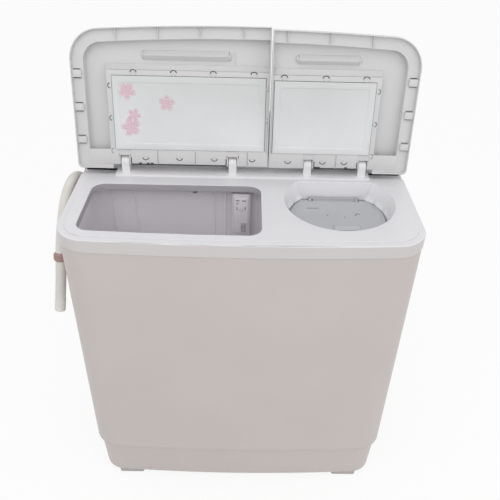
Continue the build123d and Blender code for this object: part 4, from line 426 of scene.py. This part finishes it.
def moulded(node, edge, material, shaping=None, segments=2, corner=30):
    """A moulding in one node's own form: welded, cleaned, shaped and its sharp edges rounded."""
    piece = bpy.data.objects.new(node + "_moulding", nodes[node].data.copy())
    bpy.context.scene.collection.objects.link(piece)
    bpy.ops.object.select_all(action="DESELECT")
    bpy.context.view_layer.objects.active = piece
    piece.select_set(True)
    bpy.ops.object.mode_set(mode="EDIT")
    bpy.ops.mesh.select_all(action="SELECT")
    bpy.ops.mesh.remove_doubles(threshold=weld_gap)
    bpy.ops.mesh.dissolve_limited(angle_limit=flat_angle)
    bpy.ops.object.mode_set(mode="OBJECT")
    if shaping:
        shaping(piece)
    bpy.ops.object.mode_set(mode="EDIT")
    bpy.ops.mesh.select_all(action="SELECT")
    bpy.ops.mesh.quads_convert_to_tris(quad_method="BEAUTY", ngon_method="BEAUTY")
    bpy.ops.object.mode_set(mode="OBJECT")
    rounded(piece, edge, segments, corner)
    bpy.ops.object.shade_smooth_by_angle(angle=smooth_angle)
    even = piece.modifiers.new("even", "WEIGHTED_NORMAL")
    even.keep_sharp = True
    bpy.ops.object.modifier_apply(modifier="even")
    flat_regions(piece)
    paint(piece, material)
    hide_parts(node)
    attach(piece, body_of[node])
    return piece


panel_finish = moulded_plastic("cabinet_plastic", panel_white, rough=0.40)
moulded("base_tray", body_bevel, panel_finish)
foot_finish = moulded_plastic("foot_plastic", foot_grey, rough=0.58, grain=420.0, relief=0.22, dust=0.14)
moulded("feet", 0.0006, foot_finish)


# The cabinet: one thin injection-moulded wrap of front and sides, very slightly
# narrower at its foot, with a frame at the rear for the service panel.
moulded("cabinet", 0.0006, panel_finish)


# The top deck: a glossy moulding with a deep rim band, snapped over the
# cabinet, with the two openings, the spin funnel and the posts of the hinges.
deck_white = (0.722, 0.715, 0.736, 1)
# Painted shade: the side faces of the deck's rim band are painted darker and warmer than its top.
band_painted_shade = (0.595, 0.573, 0.562, 1)
# Painted light: the hinge posts in the shade of the open lids are painted lighter than the deck.
post_painted_light = (0.800, 0.795, 0.800, 1)
# Painted light: the platform under the open lids and the wall of the spin funnel are painted lighter than the
# deck, where they lie in shade.
platform_painted_light = (0.86, 0.85, 0.87, 1)
# Painted shadow: the ledge at the foot of the spin funnel's wall is painted dark grey.
ledge_painted_shadow = (0.25, 0.255, 0.265, 1)
deck_finish = moulded_plastic("deck_plastic", deck_white, rough=0.28, grain=1500.0, relief=0.03, uneven=0.003)
deck = moulded("top_deck", 0.0011, deck_finish)
band = extra_finish(deck, "band_painted_shade_plastic", band_painted_shade, rough=0.33, grain=1300.0, relief=0.05, uneven=0.01)
posts = extra_finish(deck, "post_painted_light_plastic", post_painted_light, rough=0.30, relief=0.04)
ledge = extra_finish(deck, "well_ledge_painted_shadow", ledge_painted_shadow, rough=0.5)
platform = extra_finish(deck, "platform_painted_light_plastic", platform_painted_light, rough=0.4, relief=0.03, uneven=0.003)
band_top, ledge_top, funnel_top = 0.7685, 0.7275, 0.7680
platform_low, platform_high = 0.7757, 0.7765
spin_x, spin_y, funnel_reach = 0.2086, -0.0294, 0.118
for face in deck.data.polygons:
    place, rise = face.center, face.normal.z
    outer = abs(place.x) > 0.345 or place.y < -0.180 or (abs(place.x) > 0.335 and place.y < -0.150)
    in_funnel = (place - Vector((spin_x, spin_y, place.z))).length < funnel_reach
    # Painted shade on the side faces of the rim band
    if outer and place.z < band_top and rise < 0.5:
        face.material_index = band
    # Painted light on the hinge posts under the open lids
    if place.z > platform_high and 0.070 < place.y < 0.1045:
        face.material_index = posts
    # Painted light on the platform in the shade of the open lids
    if platform_low < place.z < platform_high and rise > 0.9:
        face.material_index = platform
    # Painted shadow under the foot of the spin funnel's wall
    if place.z < ledge_top and rise > 0.3 and 0.09 < place.x < 0.33:
        face.material_index = ledge
    # Painted light on the shaded wall of the spin funnel
    if ledge_top < place.z < funnel_top and in_funnel and abs(rise) < 0.9:
        face.material_index = platform


# The wash tub: a deep grey-lilac moulding that hangs under the deck, ribbed on
# its right wall, with a filter housing at the rear and the pulsator on its floor.
tub_lilac = (0.880, 0.852, 0.885, 1)
tub_finish = moulded_plastic("tub_plastic", tub_lilac, rough=0.30, grain=1100.0, relief=0.05,
                             shade=0.95, dust=0.05)
moulded("wash_tub", 0.0012, tub_finish)
# Painted shade: the deck's inner walls in the wash opening are painted a dark lilac, as shaded by the
# opening's edge.
lip = extra_finish(deck, "opening_lip_painted_shade", (0.42, 0.405, 0.43, 1), rough=0.4)
for face in deck.data.polygons:
    place = face.center
    inside = -0.334 < place.x < 0.044 and -0.178 < place.y < 0.030 and 0.752 < place.z < 0.7705
    if inside and abs(face.normal.z) < 0.5:
        face.material_index = lip
filter_grey = moulded_plastic("filter_plastic", (0.80, 0.775, 0.805, 1), rough=0.42)
for node in ("filter_housing", "drain_strainer"):
    moulded(node, 0.0003, filter_grey)


# The lint filter: a slim catcher clipped on the housing, with a thumb knob; its three water
# slots, the fine comb at its foot and two lines beside the knob are dark bars of painted shade.
mm = 0.001
filter_front = 26.7
thumb_x = -3
comb_teeth, tooth_pitch = 7, 3.4
comb_shadow = moulded_plastic("comb_shadow", (0.170, 0.165, 0.175, 1), rough=0.7)


def bar(x0, x1, y0, y1, z0, z1, edge, segments=3):
    """A bar between two corners, in millimetres, with rounded edges."""
    bpy.ops.object.select_all(action="DESELECT")
    bpy.ops.mesh.primitive_cube_add(
        size=1, location=((x0 + x1) / 2 * mm, (y0 + y1) / 2 * mm, (z0 + z1) / 2 * mm),
        scale=((x1 - x0) * mm, (y1 - y0) * mm, (z1 - z0) * mm))
    piece = bpy.context.object
    bpy.ops.object.transform_apply(location=True, rotation=True, scale=True)
    soften = piece.modifiers.new("soften", "BEVEL")
    soften.width, soften.segments = edge * mm, segments
    bpy.ops.object.modifier_apply(modifier="soften")
    return piece


def one_piece(pieces, name, material, body, turned=None):
    """Joins parts into one piece with its finish, turned if need be, which rides on a body."""
    bpy.ops.object.select_all(action="DESELECT")
    for piece in pieces:
        piece.select_set(True)
    bpy.context.view_layer.objects.active = pieces[0]
    if len(pieces) > 1:
        bpy.ops.object.join()
    whole = bpy.context.view_layer.objects.active
    whole.name = whole.data.name = name
    if turned:
        whole.data.transform(turned)
    bpy.ops.object.shade_smooth_by_angle(angle=math.radians(40))
    paint(whole, material)
    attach(whole, body)
    return whole


catcher = [bar(-19, 13, filter_front + 0.8, 31.7, 645.5, 740.5, 1.6)]
bpy.ops.object.select_all(action="DESELECT")
bpy.ops.mesh.primitive_cylinder_add(
    vertices=48, radius=8.6 * mm, depth=1.4 * mm, rotation=(math.pi / 2, 0, 0),
    location=(thumb_x * mm, (filter_front + 0.9) * mm, 713 * mm))
knob = bpy.context.object
bpy.ops.object.transform_apply(location=True, rotation=True, scale=True)
bpy.ops.object.mode_set(mode="EDIT")
bpy.ops.mesh.select_all(action="SELECT")
bpy.ops.mesh.bevel(offset=0.5 * mm, segments=3)
bpy.ops.object.mode_set(mode="OBJECT")
catcher.append(knob)
comb = []
for row in range(comb_teeth):
    z = 650 + row * tooth_pitch
    comb.append(bar(-3.5, 9.5, filter_front + 0.4, 28.5, z, z + 1.3, 0.2))
for x0, x1, z in ((-15, -7, 732), (-1, 8, 731.5), (-14, -9, 724)):
    comb.append(bar(x0, x1, filter_front + 0.4, 28.5, z, z + 2.4, 0.3))
for side in (-1, 1):
    x = thumb_x + side * 9.4
    comb.append(bar(x - 0.9, x + 0.9, filter_front + 0.3, 28, 709, 717, 0.4))
catcher = one_piece(catcher, "lint_filter_catcher", filter_grey, body_of["lint_filter"])
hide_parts("lint_filter")
one_piece(comb, "lint_filter_slots", comb_shadow, body_of["lint_filter"])
moulded("pulsator", 0.0015, moulded_plastic("pulsator_plastic", (0.50, 0.53, 0.60, 1), rough=0.25))


# The spin side: a smooth safety cover on two pins over the mouth of a
# perforated basket, which turns in its own round outer tub.
cover_grey = (0.485, 0.496, 0.513, 1)
cover_finish = moulded_plastic("safety_cover_plastic", cover_grey, rough=0.22, relief=0.03)
cover = moulded("spin_safety_cover", 0.0006, cover_finish)
moulded("spin_outer_tub", 0.0010, moulded_plastic("outer_tub_plastic", (0.56, 0.56, 0.585, 1), rough=0.45))
basket_finish = moulded_plastic("basket_plastic", (0.64, 0.655, 0.68, 1), rough=0.30)
paint(nodes["spin_basket"], basket_finish)


# The fittings of the safety cover: shallow latches let into its slots, a light finger tab over
# a dark bar of painted shade for the hollow at its front, dark bars of painted shade in its
# slits and holes, and painted shadow round the hinge barrel.
# Dark bars of painted shade in the cover's slits and holes, and two small dark marks beside them
slit_shade_and_marks = moulded_plastic("cover_slit_shade_and_marks", (0.130, 0.135, 0.145, 1), rough=0.6)
for piece, barrel in ((cover, 0.7297), (deck, 0.7290)):
    shadow = extra_finish(piece, "hinge_shadow", (0.40, 0.405, 0.415, 1), rough=0.5)
    for face in piece.data.polygons:
        place = face.center
        by_ear = abs(abs(place.x - spin_x) - 0.035) < 0.036
        if by_ear and 0.036 < place.y < 0.0535 and barrel < place.z < 0.738:
            face.material_index = shadow
slits, plugs = [], []
for x0, x1, y0, y1 in ((142, 175, 2, 14), (246, 256, -12, -2), (270, 290, 18, 26)):
    plugs.append(bar(x0 - 0.5, x1 + 0.5, y0 - 0.5, y1 + 0.5, 727.0, 729.45, 0.2))
slits.append(bar(145, 170, 6.4, 8.2, 728.6, 729.7, 0.3))
for x, y in ((188, -21), (225, -28)):
    slits.append(bar(x - 1.5, x + 1.5, y - 1.3, y + 1.3, 728.9, 729.5, 0.3))
for x, y, turn in ((251, -18, 0.9), (257, -14, -0.5)):
    mark = bar(-4, 4, -0.9, 0.9, 728.9, 729.6, 0.3)
    mark.data.transform(Matrix.Translation((x * mm, y * mm, 0)) @ Matrix.Rotation(turn, 4, "Z"))
    slits.append(mark)
# The slit in the spin well: a dark bar of painted shade
well_slit = bar(286, 300, 31.5, 34.0, 726.4, 727.5, 0.3)
tab = bar(197, 252, -84, -69, 728.8, 733.6, 1.6)
# Painted shade: a flat dark bar for the hollow under the finger tab
hollow = bar(198, 251, -106, -84.6, 728.8, 732.7, 0.5)
tab_finish = moulded_plastic("tab_plastic", (0.520, 0.532, 0.552, 1), rough=0.25)
one_piece([tab], "safety_cover_tab", tab_finish, "safety_cover")
one_piece(plugs, "safety_cover_latches", cover_finish, "safety_cover")
one_piece(slits, "safety_cover_slits", slit_shade_and_marks, "safety_cover")
hollow_painted_shade = moulded_plastic("tab_hollow_painted_shade", (0.33, 0.34, 0.37, 1), rough=0.4)
one_piece([hollow], "safety_cover_hollow", hollow_painted_shade, "safety_cover")
one_piece([well_slit], "well_slit", comb_shadow, "machine")


# The two lids: glossy shells with a shouldered, ribbed edge, a hand grip and a
# raised frame round a window, hung on steel pins and shown here swung open.
lid_white = (0.640, 0.633, 0.638, 1)
lid_finish = moulded_plastic("lid_plastic", lid_white, rough=0.28, grain=1500.0, relief=0.03,
                             dust=0.02, uneven=0.006)
seam_painted_shadow = moulded_plastic("seam_shadow", (0.150, 0.150, 0.158, 1), rough=0.7)
clip_painted_shadow = moulded_plastic("clip_shadow", (0.050, 0.050, 0.055, 1), rough=0.7)
hinge_y, hinge_z = 89, 797
hinge_line = Vector((0, hinge_y * mm, hinge_z * mm))
lid_under = 779.5
recess_under = 797.5
lid_top = 800
swing = {}
for lid, opening in (("wash_lid", 103.3), ("spin_lid", 97.8)):
    swing[lid] = (Matrix.Translation(hinge_line) @ Matrix.Rotation(math.radians(-opening), 4, "X")
                  @ Matrix.Translation(-hinge_line))


def lid_bar(x0, x1, s0, s1, z0, z1, edge=0.5):
    """A bar in a closed lid, in millimetres: across, out from the hinge line, and up."""
    return bar(x0, x1, hinge_y - s1, hinge_y - s0, z0, z1, edge, segments=2)


def shifted(piece, x, s, z, turn=0.0, size=1.0):
    """A copy of a small part, with its own mesh, moved to a place on a closed lid."""
    copy = bpy.data.objects.new(piece.name, piece.data.copy())
    bpy.context.scene.collection.objects.link(copy)
    place = Matrix.Translation((x * mm, (hinge_y - s) * mm, z * mm))
    copy.data.transform(place @ Matrix.Rotation(turn, 4, "Z") @ Matrix.Scale(size, 4))
    return copy


def fitted(pieces, name, material, lid, replaced=None):
    """Joins parts of a closed lid into one piece, which swings open with it."""
    whole = one_piece(pieces, name, material, lid, swing[lid])
    if replaced:
        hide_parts(replaced)


def grip_shape(lid, x0, x1):
    """Turns the plain box of a hand grip into a ridge with a light face over a steep dark one."""
    def shaping(piece):
        ridge = 229.6
        cuts = [((0, hinge_y - ridge, 0), (0, 1, 0))]
        cuts += [((x, 0, 0), (1, 0, 0)) for x in (x0 + 6, x1 - 6)]
        piece.data.transform(swing[lid].inverted())
        for cut, facing in cuts:
            bpy.ops.object.mode_set(mode="EDIT")
            bpy.ops.mesh.select_all(action="DESELECT")
            bpy.ops.object.mode_set(mode="OBJECT")
            for face in piece.data.polygons:
                place = face.center / mm
                face.select = x0 - 4 < place.x < x1 + 4 and 210 < hinge_y - place.y < 248 and place.z < 788
            bpy.ops.object.mode_set(mode="EDIT")
            bpy.ops.mesh.bisect(plane_co=Vector(cut) * mm, plane_no=facing)
            bpy.ops.object.mode_set(mode="OBJECT")
        for point in piece.data.vertices:
            x, s = point.co.x / mm, hinge_y - point.co.y / mm
            depth = lid_top - point.co.z / mm
            if not (x0 - 3 < x < x1 + 3 and 211 < s < 246.6 and depth < 18):
                continue
            ends = min(1.0, max(0.0, min(x - x0 + 3, x1 + 3 - x) / 9.0))
            slope = max(0.12, 1.0 - abs(s - ridge) / 18.0) * (0.25 + 0.75 * ends)
            if depth > 16:
                depth = 2.5 + (depth - 2.5) * slope * 0.86
            elif depth > 2.6:
                depth = 0.8 + (depth - 2.5) * slope * 0.6
            point.co = Vector((x, hinge_y - (230.5 + (s - 229.0) * 0.62), lid_top - depth)) * mm
        piece.data.transform(swing[lid])
    return shaping


bpy.ops.object.select_all(action="DESELECT")
bpy.ops.mesh.primitive_torus_add(major_segments=28, minor_segments=8,
                                 major_radius=6.6 * mm, minor_radius=0.95 * mm)
crescent = bpy.context.object
crescent.name = "lid_clip_edge"
bpy.ops.object.mode_set(mode="EDIT")
bpy.ops.mesh.select_all(action="SELECT")
bpy.ops.transform.resize(value=(1, 0.85, 1))
bpy.ops.mesh.bisect(plane_co=(0, -0.6 * mm, 0), plane_no=(0, 1, 0), clear_outer=True, use_fill=True)
bpy.ops.object.mode_set(mode="OBJECT")
bpy.ops.object.select_all(action="DESELECT")
bpy.ops.mesh.primitive_cylinder_add(vertices=32, radius=5.2 * mm, depth=1.6 * mm)
tongue = bpy.context.object
tongue.name = "lid_clip_tongue"
bpy.ops.object.mode_set(mode="EDIT")
bpy.ops.mesh.select_all(action="SELECT")
bpy.ops.mesh.bisect(plane_co=(0, 0.4 * mm, 0), plane_no=(0, 1, 0), clear_outer=True, use_fill=True)
bpy.ops.mesh.select_all(action="SELECT")
bpy.ops.mesh.bevel(offset=0.45 * mm, segments=2)
bpy.ops.object.mode_set(mode="OBJECT")

half_turn, quarter = math.pi, math.pi / 2
lids = {
    "wash_lid": {
        "window": (-284, 46, 31, 189),
        "grip": (-219, -30),
        "edge_x": (-366.4, -347.2),
        "frame": (-296, 54.4),
        "clips": [(x, 196, 0) for x in (-238, -152, -67, 20)]
        + [(x, 13, half_turn) for x in (-219, -143, -65, 20)]
        + [(-289.5, s, -quarter) for s in (168, 99, 26)]
        + [(50.6, s, quarter) for s in (167, 99)],
        "ribs": (-192.6, -108.2, 8.0),
        "strip": ((-344.5, -279), (-252.5, -37.5), (-10, 54.4)),
        "outline": (-251.4, -38.6),
        "shadow_spots": (-231, -214, -205),
        "grip_rib": (-21.2, -19.6),
    },
    "spin_lid": {
        "window": (64, 280, 31, 189),
        "grip": (110, 244),
        "edge_x": (347.2, 366.4),
        "frame": (57.6, 292),
        "clips": [(x, 196, 0) for x in (84, 172, 258)]
        + [(x, 13, half_turn) for x in (100, 178, 227)]
        + [(285.8, s, quarter) for s in (171, 100, 27)],
        "ribs": (207.0,),
        "strip": ((57.6, 133.5), (158.5, 257.5), (282.5, 344.5)),
        "outline": (159.6, 256.4),
        "shadow_spots": (164, 170, 232),
        "grip_rib": None,
    },
}
for lid, plan in lids.items():
    side = lid.split("_")[0]
    moulded(lid, 0.0008, lid_finish, shaping=grip_shape(lid, *plan["grip"]))
    x0, x1, s0, s1 = plan["window"]
    left, right = plan["frame"]
    edge0, edge1 = plan["edge_x"]
    # The slope that leads up to the frame, and the low ribs and pads of the edge
    slope = lid_bar(left, right, 201.2, 212, recess_under - 15, recess_under + 0.4, 0.4)
    for point in slope.data.vertices:
        if hinge_y - point.co.y / mm > 207 and point.co.z / mm < 792:
            point.co.z += 12.5 * mm
    pads = [slope]
    gaps = []
    for low, high in ((184, 199), (114, 129), (44, 58)):
        pads.append(lid_bar(edge0, edge1, low, high, lid_under - 6.0, lid_under + 0.4, 1.0))
        # Dark bars of painted shadow in the gaps beside each edge pad
        for s in (low - 1.6, high + 1.6):
            gaps.append(lid_bar(edge0 + 2, edge1 - 2, s - 0.9, s + 0.9,
                                lid_under - 0.25, lid_under + 0.2, 0.1))
    for low, high in plan["strip"]:
        pads.append(lid_bar(low, high, -3.8, 30.4, lid_under - 0.8, lid_under + 0.4, 0.4))
    for x in plan["ribs"]:
        pads.append(lid_bar(x - 0.8, x + 0.8, -2.5, 29.0, lid_under - 2.4, lid_under + 0.4, 0.4))
        # A dark bar of painted shadow beside each rib
        gaps.append(lid_bar(x + 0.9, x + 1.5, -2.0, 28.0, lid_under - 0.95, lid_under, 0.1))
    if plan["grip_rib"]:
        pads.append(lid_bar(*plan["grip_rib"], 215, 241, recess_under - 2.2, recess_under + 0.4, 0.4))
    for x, s, turn in plan["clips"]:
        size = 0.8 if 20 < s < 190 else 1.0
        pads.append(shifted(tongue, x, s - 1.2 * math.cos(turn), lid_under - 0.6, turn + half_turn, size))
    fitted(pads, side + "_lid_details", lid_finish, lid)
    # Painted shadows, dark bars in the gaps: round the snap clips, beside the pads, along the notches and
    # foot of the hinge strip, and under the plate's edge
    for x, s, turn in plan["clips"]:
        size = 0.78 if 20 < s < 190 else 1.0
        gaps.append(shifted(crescent, x, s, lid_under - (0.9 if s < 20 else 0.3), turn, size))
    low_x, high_x = plan["outline"]
    gaps.append(lid_bar(low_x, high_x, -4.6, -1.6, lid_under - 1.3, lid_under + 0.6, 0.2))
    for x in (low_x, high_x):
        gaps.append(lid_bar(x - 1.0, x + 1.0, -4.4, 13, lid_under - 1.3, lid_under, 0.15))
    for x in plan["shadow_spots"]:
        gaps.append(lid_bar(x - 3.2, x + 3.2, -5.0, 0.8, lid_under - 1.6, lid_under, 0.3))
    fitted(gaps, side + "_lid_gaps", clip_painted_shadow, lid)
    # Painted shadow: a dark frame round the window plate, under its edge
    seam = lid_bar(x0 - 1.1, x1 + 1.1, s0 - 1.1, s1 + 1.1, lid_under - 0.35, lid_under + 0.2, 0.1)
    fitted([seam], side + "_plate_seam", seam_painted_shadow, lid)


# The window plates: frosted sheets with a flat raised border, clipped under
# the frames, and behind them the clear panes with a soft print of blossoms.
def frosted(name, low, high):
    """Frosted plastic: a dense fine stipple, and painted light that makes it a little lighter lower down on
    the open lid, for the light that comes through there.
    """
    skin = Finish(name)
    height = skin.add("ShaderNodeSeparateXYZ", None, {"Vector": skin.place()}, out="Z")
    # Painted light: lighter lower down, by height in the open pose
    rise = skin.ramp(height, 0.985, 0.83)
    haze = skin.ramp(skin.noise(9.0, 5.0), 0.3, 0.8) * 0.25
    colour = skin.blend(rise * 0.8 + haze, low, high)
    stipple = skin.bump(0.16, 0.0003, skin.noise(1400.0, 2.0))
    return skin.done(skin.add("ShaderNodeBsdfPrincipled", None, {
        "Base Color": colour, "Roughness": haze * 0.3 + 0.40, "Normal": stipple}))


def window_plate(x0, x1, s0, s1, z0, z1, border, sink):
    """A plate with its middle sunk inside a flat border."""
    plate = lid_bar(x0, x1, s0, s1, z0, z1, 0.4)
    bpy.ops.object.mode_set(mode="EDIT")
    bpy.ops.mesh.select_all(action="DESELECT")
    bpy.ops.object.mode_set(mode="OBJECT")
    for face in plate.data.polygons:
        face.select = face.normal.z < -0.99 and face.area > 0.005
    bpy.ops.object.mode_set(mode="EDIT")
    bpy.ops.mesh.inset(thickness=border * mm, depth=0)
    bpy.ops.mesh.inset(thickness=0.8 * mm, depth=0)
    bpy.ops.transform.translate(value=(0, 0, sink * mm))
    bpy.ops.object.mode_set(mode="OBJECT")
    return plate


frost = frosted("frosted_plate", (0.600, 0.612, 0.612, 1), (0.760, 0.768, 0.775, 1))
pane_clear = Finish("clear_pane")
smears = pane_clear.ramp(pane_clear.noise(16.0, 6.0), 0.35, 0.8)
pane_finish = pane_clear.done(pane_clear.add("ShaderNodeBsdfPrincipled", None, {
    "Base Color": pane_clear.blend(smears, (0.62, 0.655, 0.67, 1), (0.64, 0.675, 0.685, 1)),
    "Roughness": smears * 0.02 + 0.09, "Alpha": smears * 0.03 + 0.55}))
pink = Finish("blossom_print")
fade = pink.add("ShaderNodeAttribute", {"attribute_name": "soft"}, out="Fac")
petal_veins = pink.ramp(pink.noise(260.0, 3.0), 0.3, 0.7)
blossom_finish = pink.done(pink.add("ShaderNodeBsdfPrincipled", None, {
    "Base Color": pink.blend(petal_veins, (0.900, 0.480, 0.610, 1), (0.880, 0.560, 0.670, 1)),
    "Roughness": petal_veins * 0.1 + 0.4, "Alpha": pink.ramp(fade, 0.0, 1.0) * 0.46}))


def blossom(size, tilt):
    """A five-lobed flower with a soft edge, drawn as thin print about the origin."""
    bpy.ops.object.select_all(action="DESELECT")
    bpy.ops.mesh.primitive_circle_add(vertices=60, radius=1.0, fill_type="TRIFAN")
    flower = bpy.context.object
    bpy.ops.object.mode_set(mode="EDIT")
    bpy.ops.mesh.select_all(action="SELECT")
    bpy.ops.mesh.subdivide(number_cuts=3)
    bpy.ops.object.mode_set(mode="OBJECT")
    soft = flower.data.attributes.new("soft", "FLOAT", "POINT")
    for point, value in zip(flower.data.vertices, soft.data):
        out, turn = min(1.0, point.co.length), math.atan2(point.co.y, point.co.x)
        petal = abs(math.cos(2.5 * turn))
        value.value = min(1.0, (1.0 - out) / 0.45) * (0.72 + 0.28 * petal) * (0.8 + 0.2 * out)
        point.co *= size * mm * (0.66 + 0.34 * petal ** 0.7)
    flower.data.transform(Matrix.Rotation(tilt, 4, "Z"))
    return flower


for lid, plan in lids.items():
    side = lid.split("_")[0]
    x0, x1, s0, s1 = plan["window"]
    plate = window_plate(x0, x1, s0, s1, lid_under - 2.7, lid_under - 0.3, 13.0, 0.7)
    fitted([plate], side + "_window_plate", frost, lid, lid + "_inner_plate")
    paint(nodes[lid + "_window"], pane_finish)
prints = []
blossoms = ((-253, 157, 22, 0.3), (-168, 133, 21, 1.0), (-248, 80, 25, 0.7), (-240, 106, 18, 0.1))
for x, s, size, tilt in blossoms:
    flower = blossom(size, tilt)
    prints.append(shifted(flower, x, s, lid_under - 2.1))
    flower.data.transform(Matrix.Rotation(math.pi, 4, "X"))
    prints.append(shifted(flower, x, s, lid_top + 0.1))
    bpy.data.objects.remove(flower)
fitted(prints, "wash_window_blossoms", blossom_finish, "wash_lid")
for pattern in (crescent, tongue):
    bpy.data.objects.remove(pattern)


# The control console behind the lids: a sloped moulding on the deck's rear
# edge that carries two timers, the fill selector and the drain selector.
console_finish = moulded_plastic("console_plastic", (0.700, 0.700, 0.715, 1), rough=0.30, relief=0.04)
moulded("control_console", 0.0010, console_finish)
knob_finish = moulded_plastic("knob_plastic", (0.36, 0.375, 0.41, 1), rough=0.30)
for node in ("wash_timer_knob", "spin_timer_knob", "fill_selector_knob", "drain_selector_knob"):
    moulded(node, 0.0004, knob_finish)


# The marks of the dials: fine printed ticks and a thin line round each knob and
# a pale line on its pointer, all plain, without letters or numbers.
dial_print = moulded_plastic("dial_print", (0.145, 0.160, 0.205, 1), rough=0.5)
pointer_print = moulded_plastic("pointer_print", (0.840, 0.850, 0.860, 1), rough=0.4)
knob_height = 20.0
panel_y, panel_z = 144, 853
slope_cos, slope_sin = 0.835417, 0.549617
tick = bar(-0.55, 0.55, 29.0, 32.0, -0.3, 0.18, 0.1)
long_tick = bar(-0.55, 0.55, 29.0, 34.5, -0.3, 0.18, 0.1)
arc = bar(-1.45, 1.45, 26.9, 27.5, -0.3, 0.14, 0.1)
for node, x, ticks, sweep in (("wash_timer_knob", -270, 16, 315), ("spin_timer_knob", 240, 11, 300),
                              ("fill_selector_knob", -110, 3, 180), ("drain_selector_knob", 80, 2, 90)):
    on_slope = Matrix.Translation((x * mm, panel_y * mm, panel_z * mm)) @ Matrix(
        ((1, 0, 0), (0, slope_cos, -slope_sin), (0, slope_sin, slope_cos))).to_4x4()
    turns = [(long_tick if i % 5 == 0 or ticks < 5 else tick, sweep * i / (ticks - 1)) for i in range(ticks)]
    turns += [(arc, 6 * i + 3) for i in range(sweep // 6)]
    marks = []
    for pattern, turn in turns:
        mark = bpy.data.objects.new(node + "_mark", pattern.data.copy())
        bpy.context.scene.collection.objects.link(mark)
        mark.data.transform(on_slope @ Matrix.Rotation(-math.radians(turn), 4, "Z"))
        marks.append(mark)
    one_piece(marks, node + "_marks", dial_print, "machine")
    pointer = bar(-0.8, 0.8, 8.0, 20.5, knob_height - 0.3, knob_height + 0.2, 0.15)
    pointer.data.transform(on_slope)
    one_piece([pointer], node + "_pointer", pointer_print, body_of[node])
for pattern in (tick, long_tick, arc):
    bpy.data.objects.remove(pattern)


# The working parts inside: steel, cast aluminium, painted motor shells, rubber
# and plain mouldings, each in the finish that such a part leaves the factory in.
def bare_metal(name, colour, rough=0.34, drawn=(1.0, 1.0, 1.0), uneven=1.0):
    """Bare metal: drawn or cast, with fine lines and dull patches."""
    skin = Finish(name)
    stretched = skin.add("ShaderNodeMapping", None, {"Vector": skin.place(), "Scale": drawn})
    lines = skin.noise(260.0, 4.0, stretched)
    dull = skin.ramp(skin.noise(22.0, 6.0), 0.35, 0.75) * uneven
    darker = tuple(part * 0.72 for part in colour[:3]) + (1,)
    bump = skin.bump(0.18, 0.0002, lines)
    return skin.done(skin.add("ShaderNodeBsdfPrincipled", None, {
        "Base Color": skin.blend(dull, colour, darker), "Metallic": 1.0,
        "Roughness": lines * 0.16 + dull * 0.18 + (rough - 0.12), "Normal": bump}))


def soft_rubber(name, colour, rough=0.72):
    """Moulded rubber: matt, a little dusty, with a slightly paler bloom."""
    skin = Finish(name)
    bloom = skin.ramp(skin.noise(30.0, 6.0), 0.42, 0.78)
    pale = tuple(min(1.0, part * 1.6 + 0.03) for part in colour[:3]) + (1,)
    bump = skin.bump(0.25, 0.0004, skin.noise(520.0, 3.0))
    return skin.done(skin.add("ShaderNodeBsdfPrincipled", None, {
        "Base Color": skin.blend(bloom, colour, pale), "Roughness": bloom * 0.1 + rough, "Normal": bump}))


steel = bare_metal("plated_steel", (0.60, 0.60, 0.61, 1), 0.30, (1.0, 1.0, 0.06))
cast = bare_metal("cast_aluminium", (0.56, 0.57, 0.58, 1), 0.48)
sheet_steel = bare_metal("galvanised_sheet", (0.50, 0.51, 0.52, 1), 0.50, uneven=0.22)
motor_paint = moulded_plastic("motor_enamel", (0.045, 0.050, 0.058, 1), rough=0.38, grain=300.0, relief=0.20)
black_rubber = soft_rubber("black_rubber", (0.016, 0.016, 0.017, 1))
pad_rubber = soft_rubber("pad_rubber", (0.30, 0.30, 0.30, 1))
cream_plastic = moulded_plastic("natural_plastic", (0.66, 0.63, 0.55, 1), rough=0.48)
can_plastic = moulded_plastic("capacitor_plastic", (0.07, 0.075, 0.085, 1), rough=0.42)
lead_sleeve = soft_rubber("lead_sleeve", (0.030, 0.031, 0.036, 1), 0.5)
pipe_plastic = moulded_plastic("drain_pipe_plastic", (0.27, 0.29, 0.27, 1), rough=0.5)
spout_plastic = moulded_plastic("inlet_plastic", (0.640, 0.620, 0.650, 1), rough=0.42)
for finish, members in (
    (steel, "wash_lid_pins spin_lid_pins safety_cover_pins pulsator_screw pulsator_shaft "
            "bracket_bolts case_screws spin_shaft spin_bearing brake_lever drain_pull_rod"),
    (cast, "gearbox_housing gearbox_pulley wash_motor_pulley brake_disc"),
    (sheet_steel, "drive_bracket rear_panel"),
    (motor_paint, "wash_motor spin_motor"),
    (black_rubber, "shaft_seal drive_belt spin_bellows motor_cushions drain_valve_plug cord_gland"),
    (pad_rubber, "lid_bumpers"),
    (cream_plastic, "wash_timer spin_timer drain_crank drain_valve_body"),
    (spout_plastic, "fill_selector"),
    (can_plastic, "capacitor"),
    (lead_sleeve, "wiring_harness"),
    (pipe_plastic, "drain_pipe drain_outlet_elbow"),
):
    for node in members.split():
        paint(nodes[node], finish)
paint(collar, moulded_plastic("hose_clip_plastic", (0.430, 0.290, 0.255, 1), rough=0.42, grain=500.0))
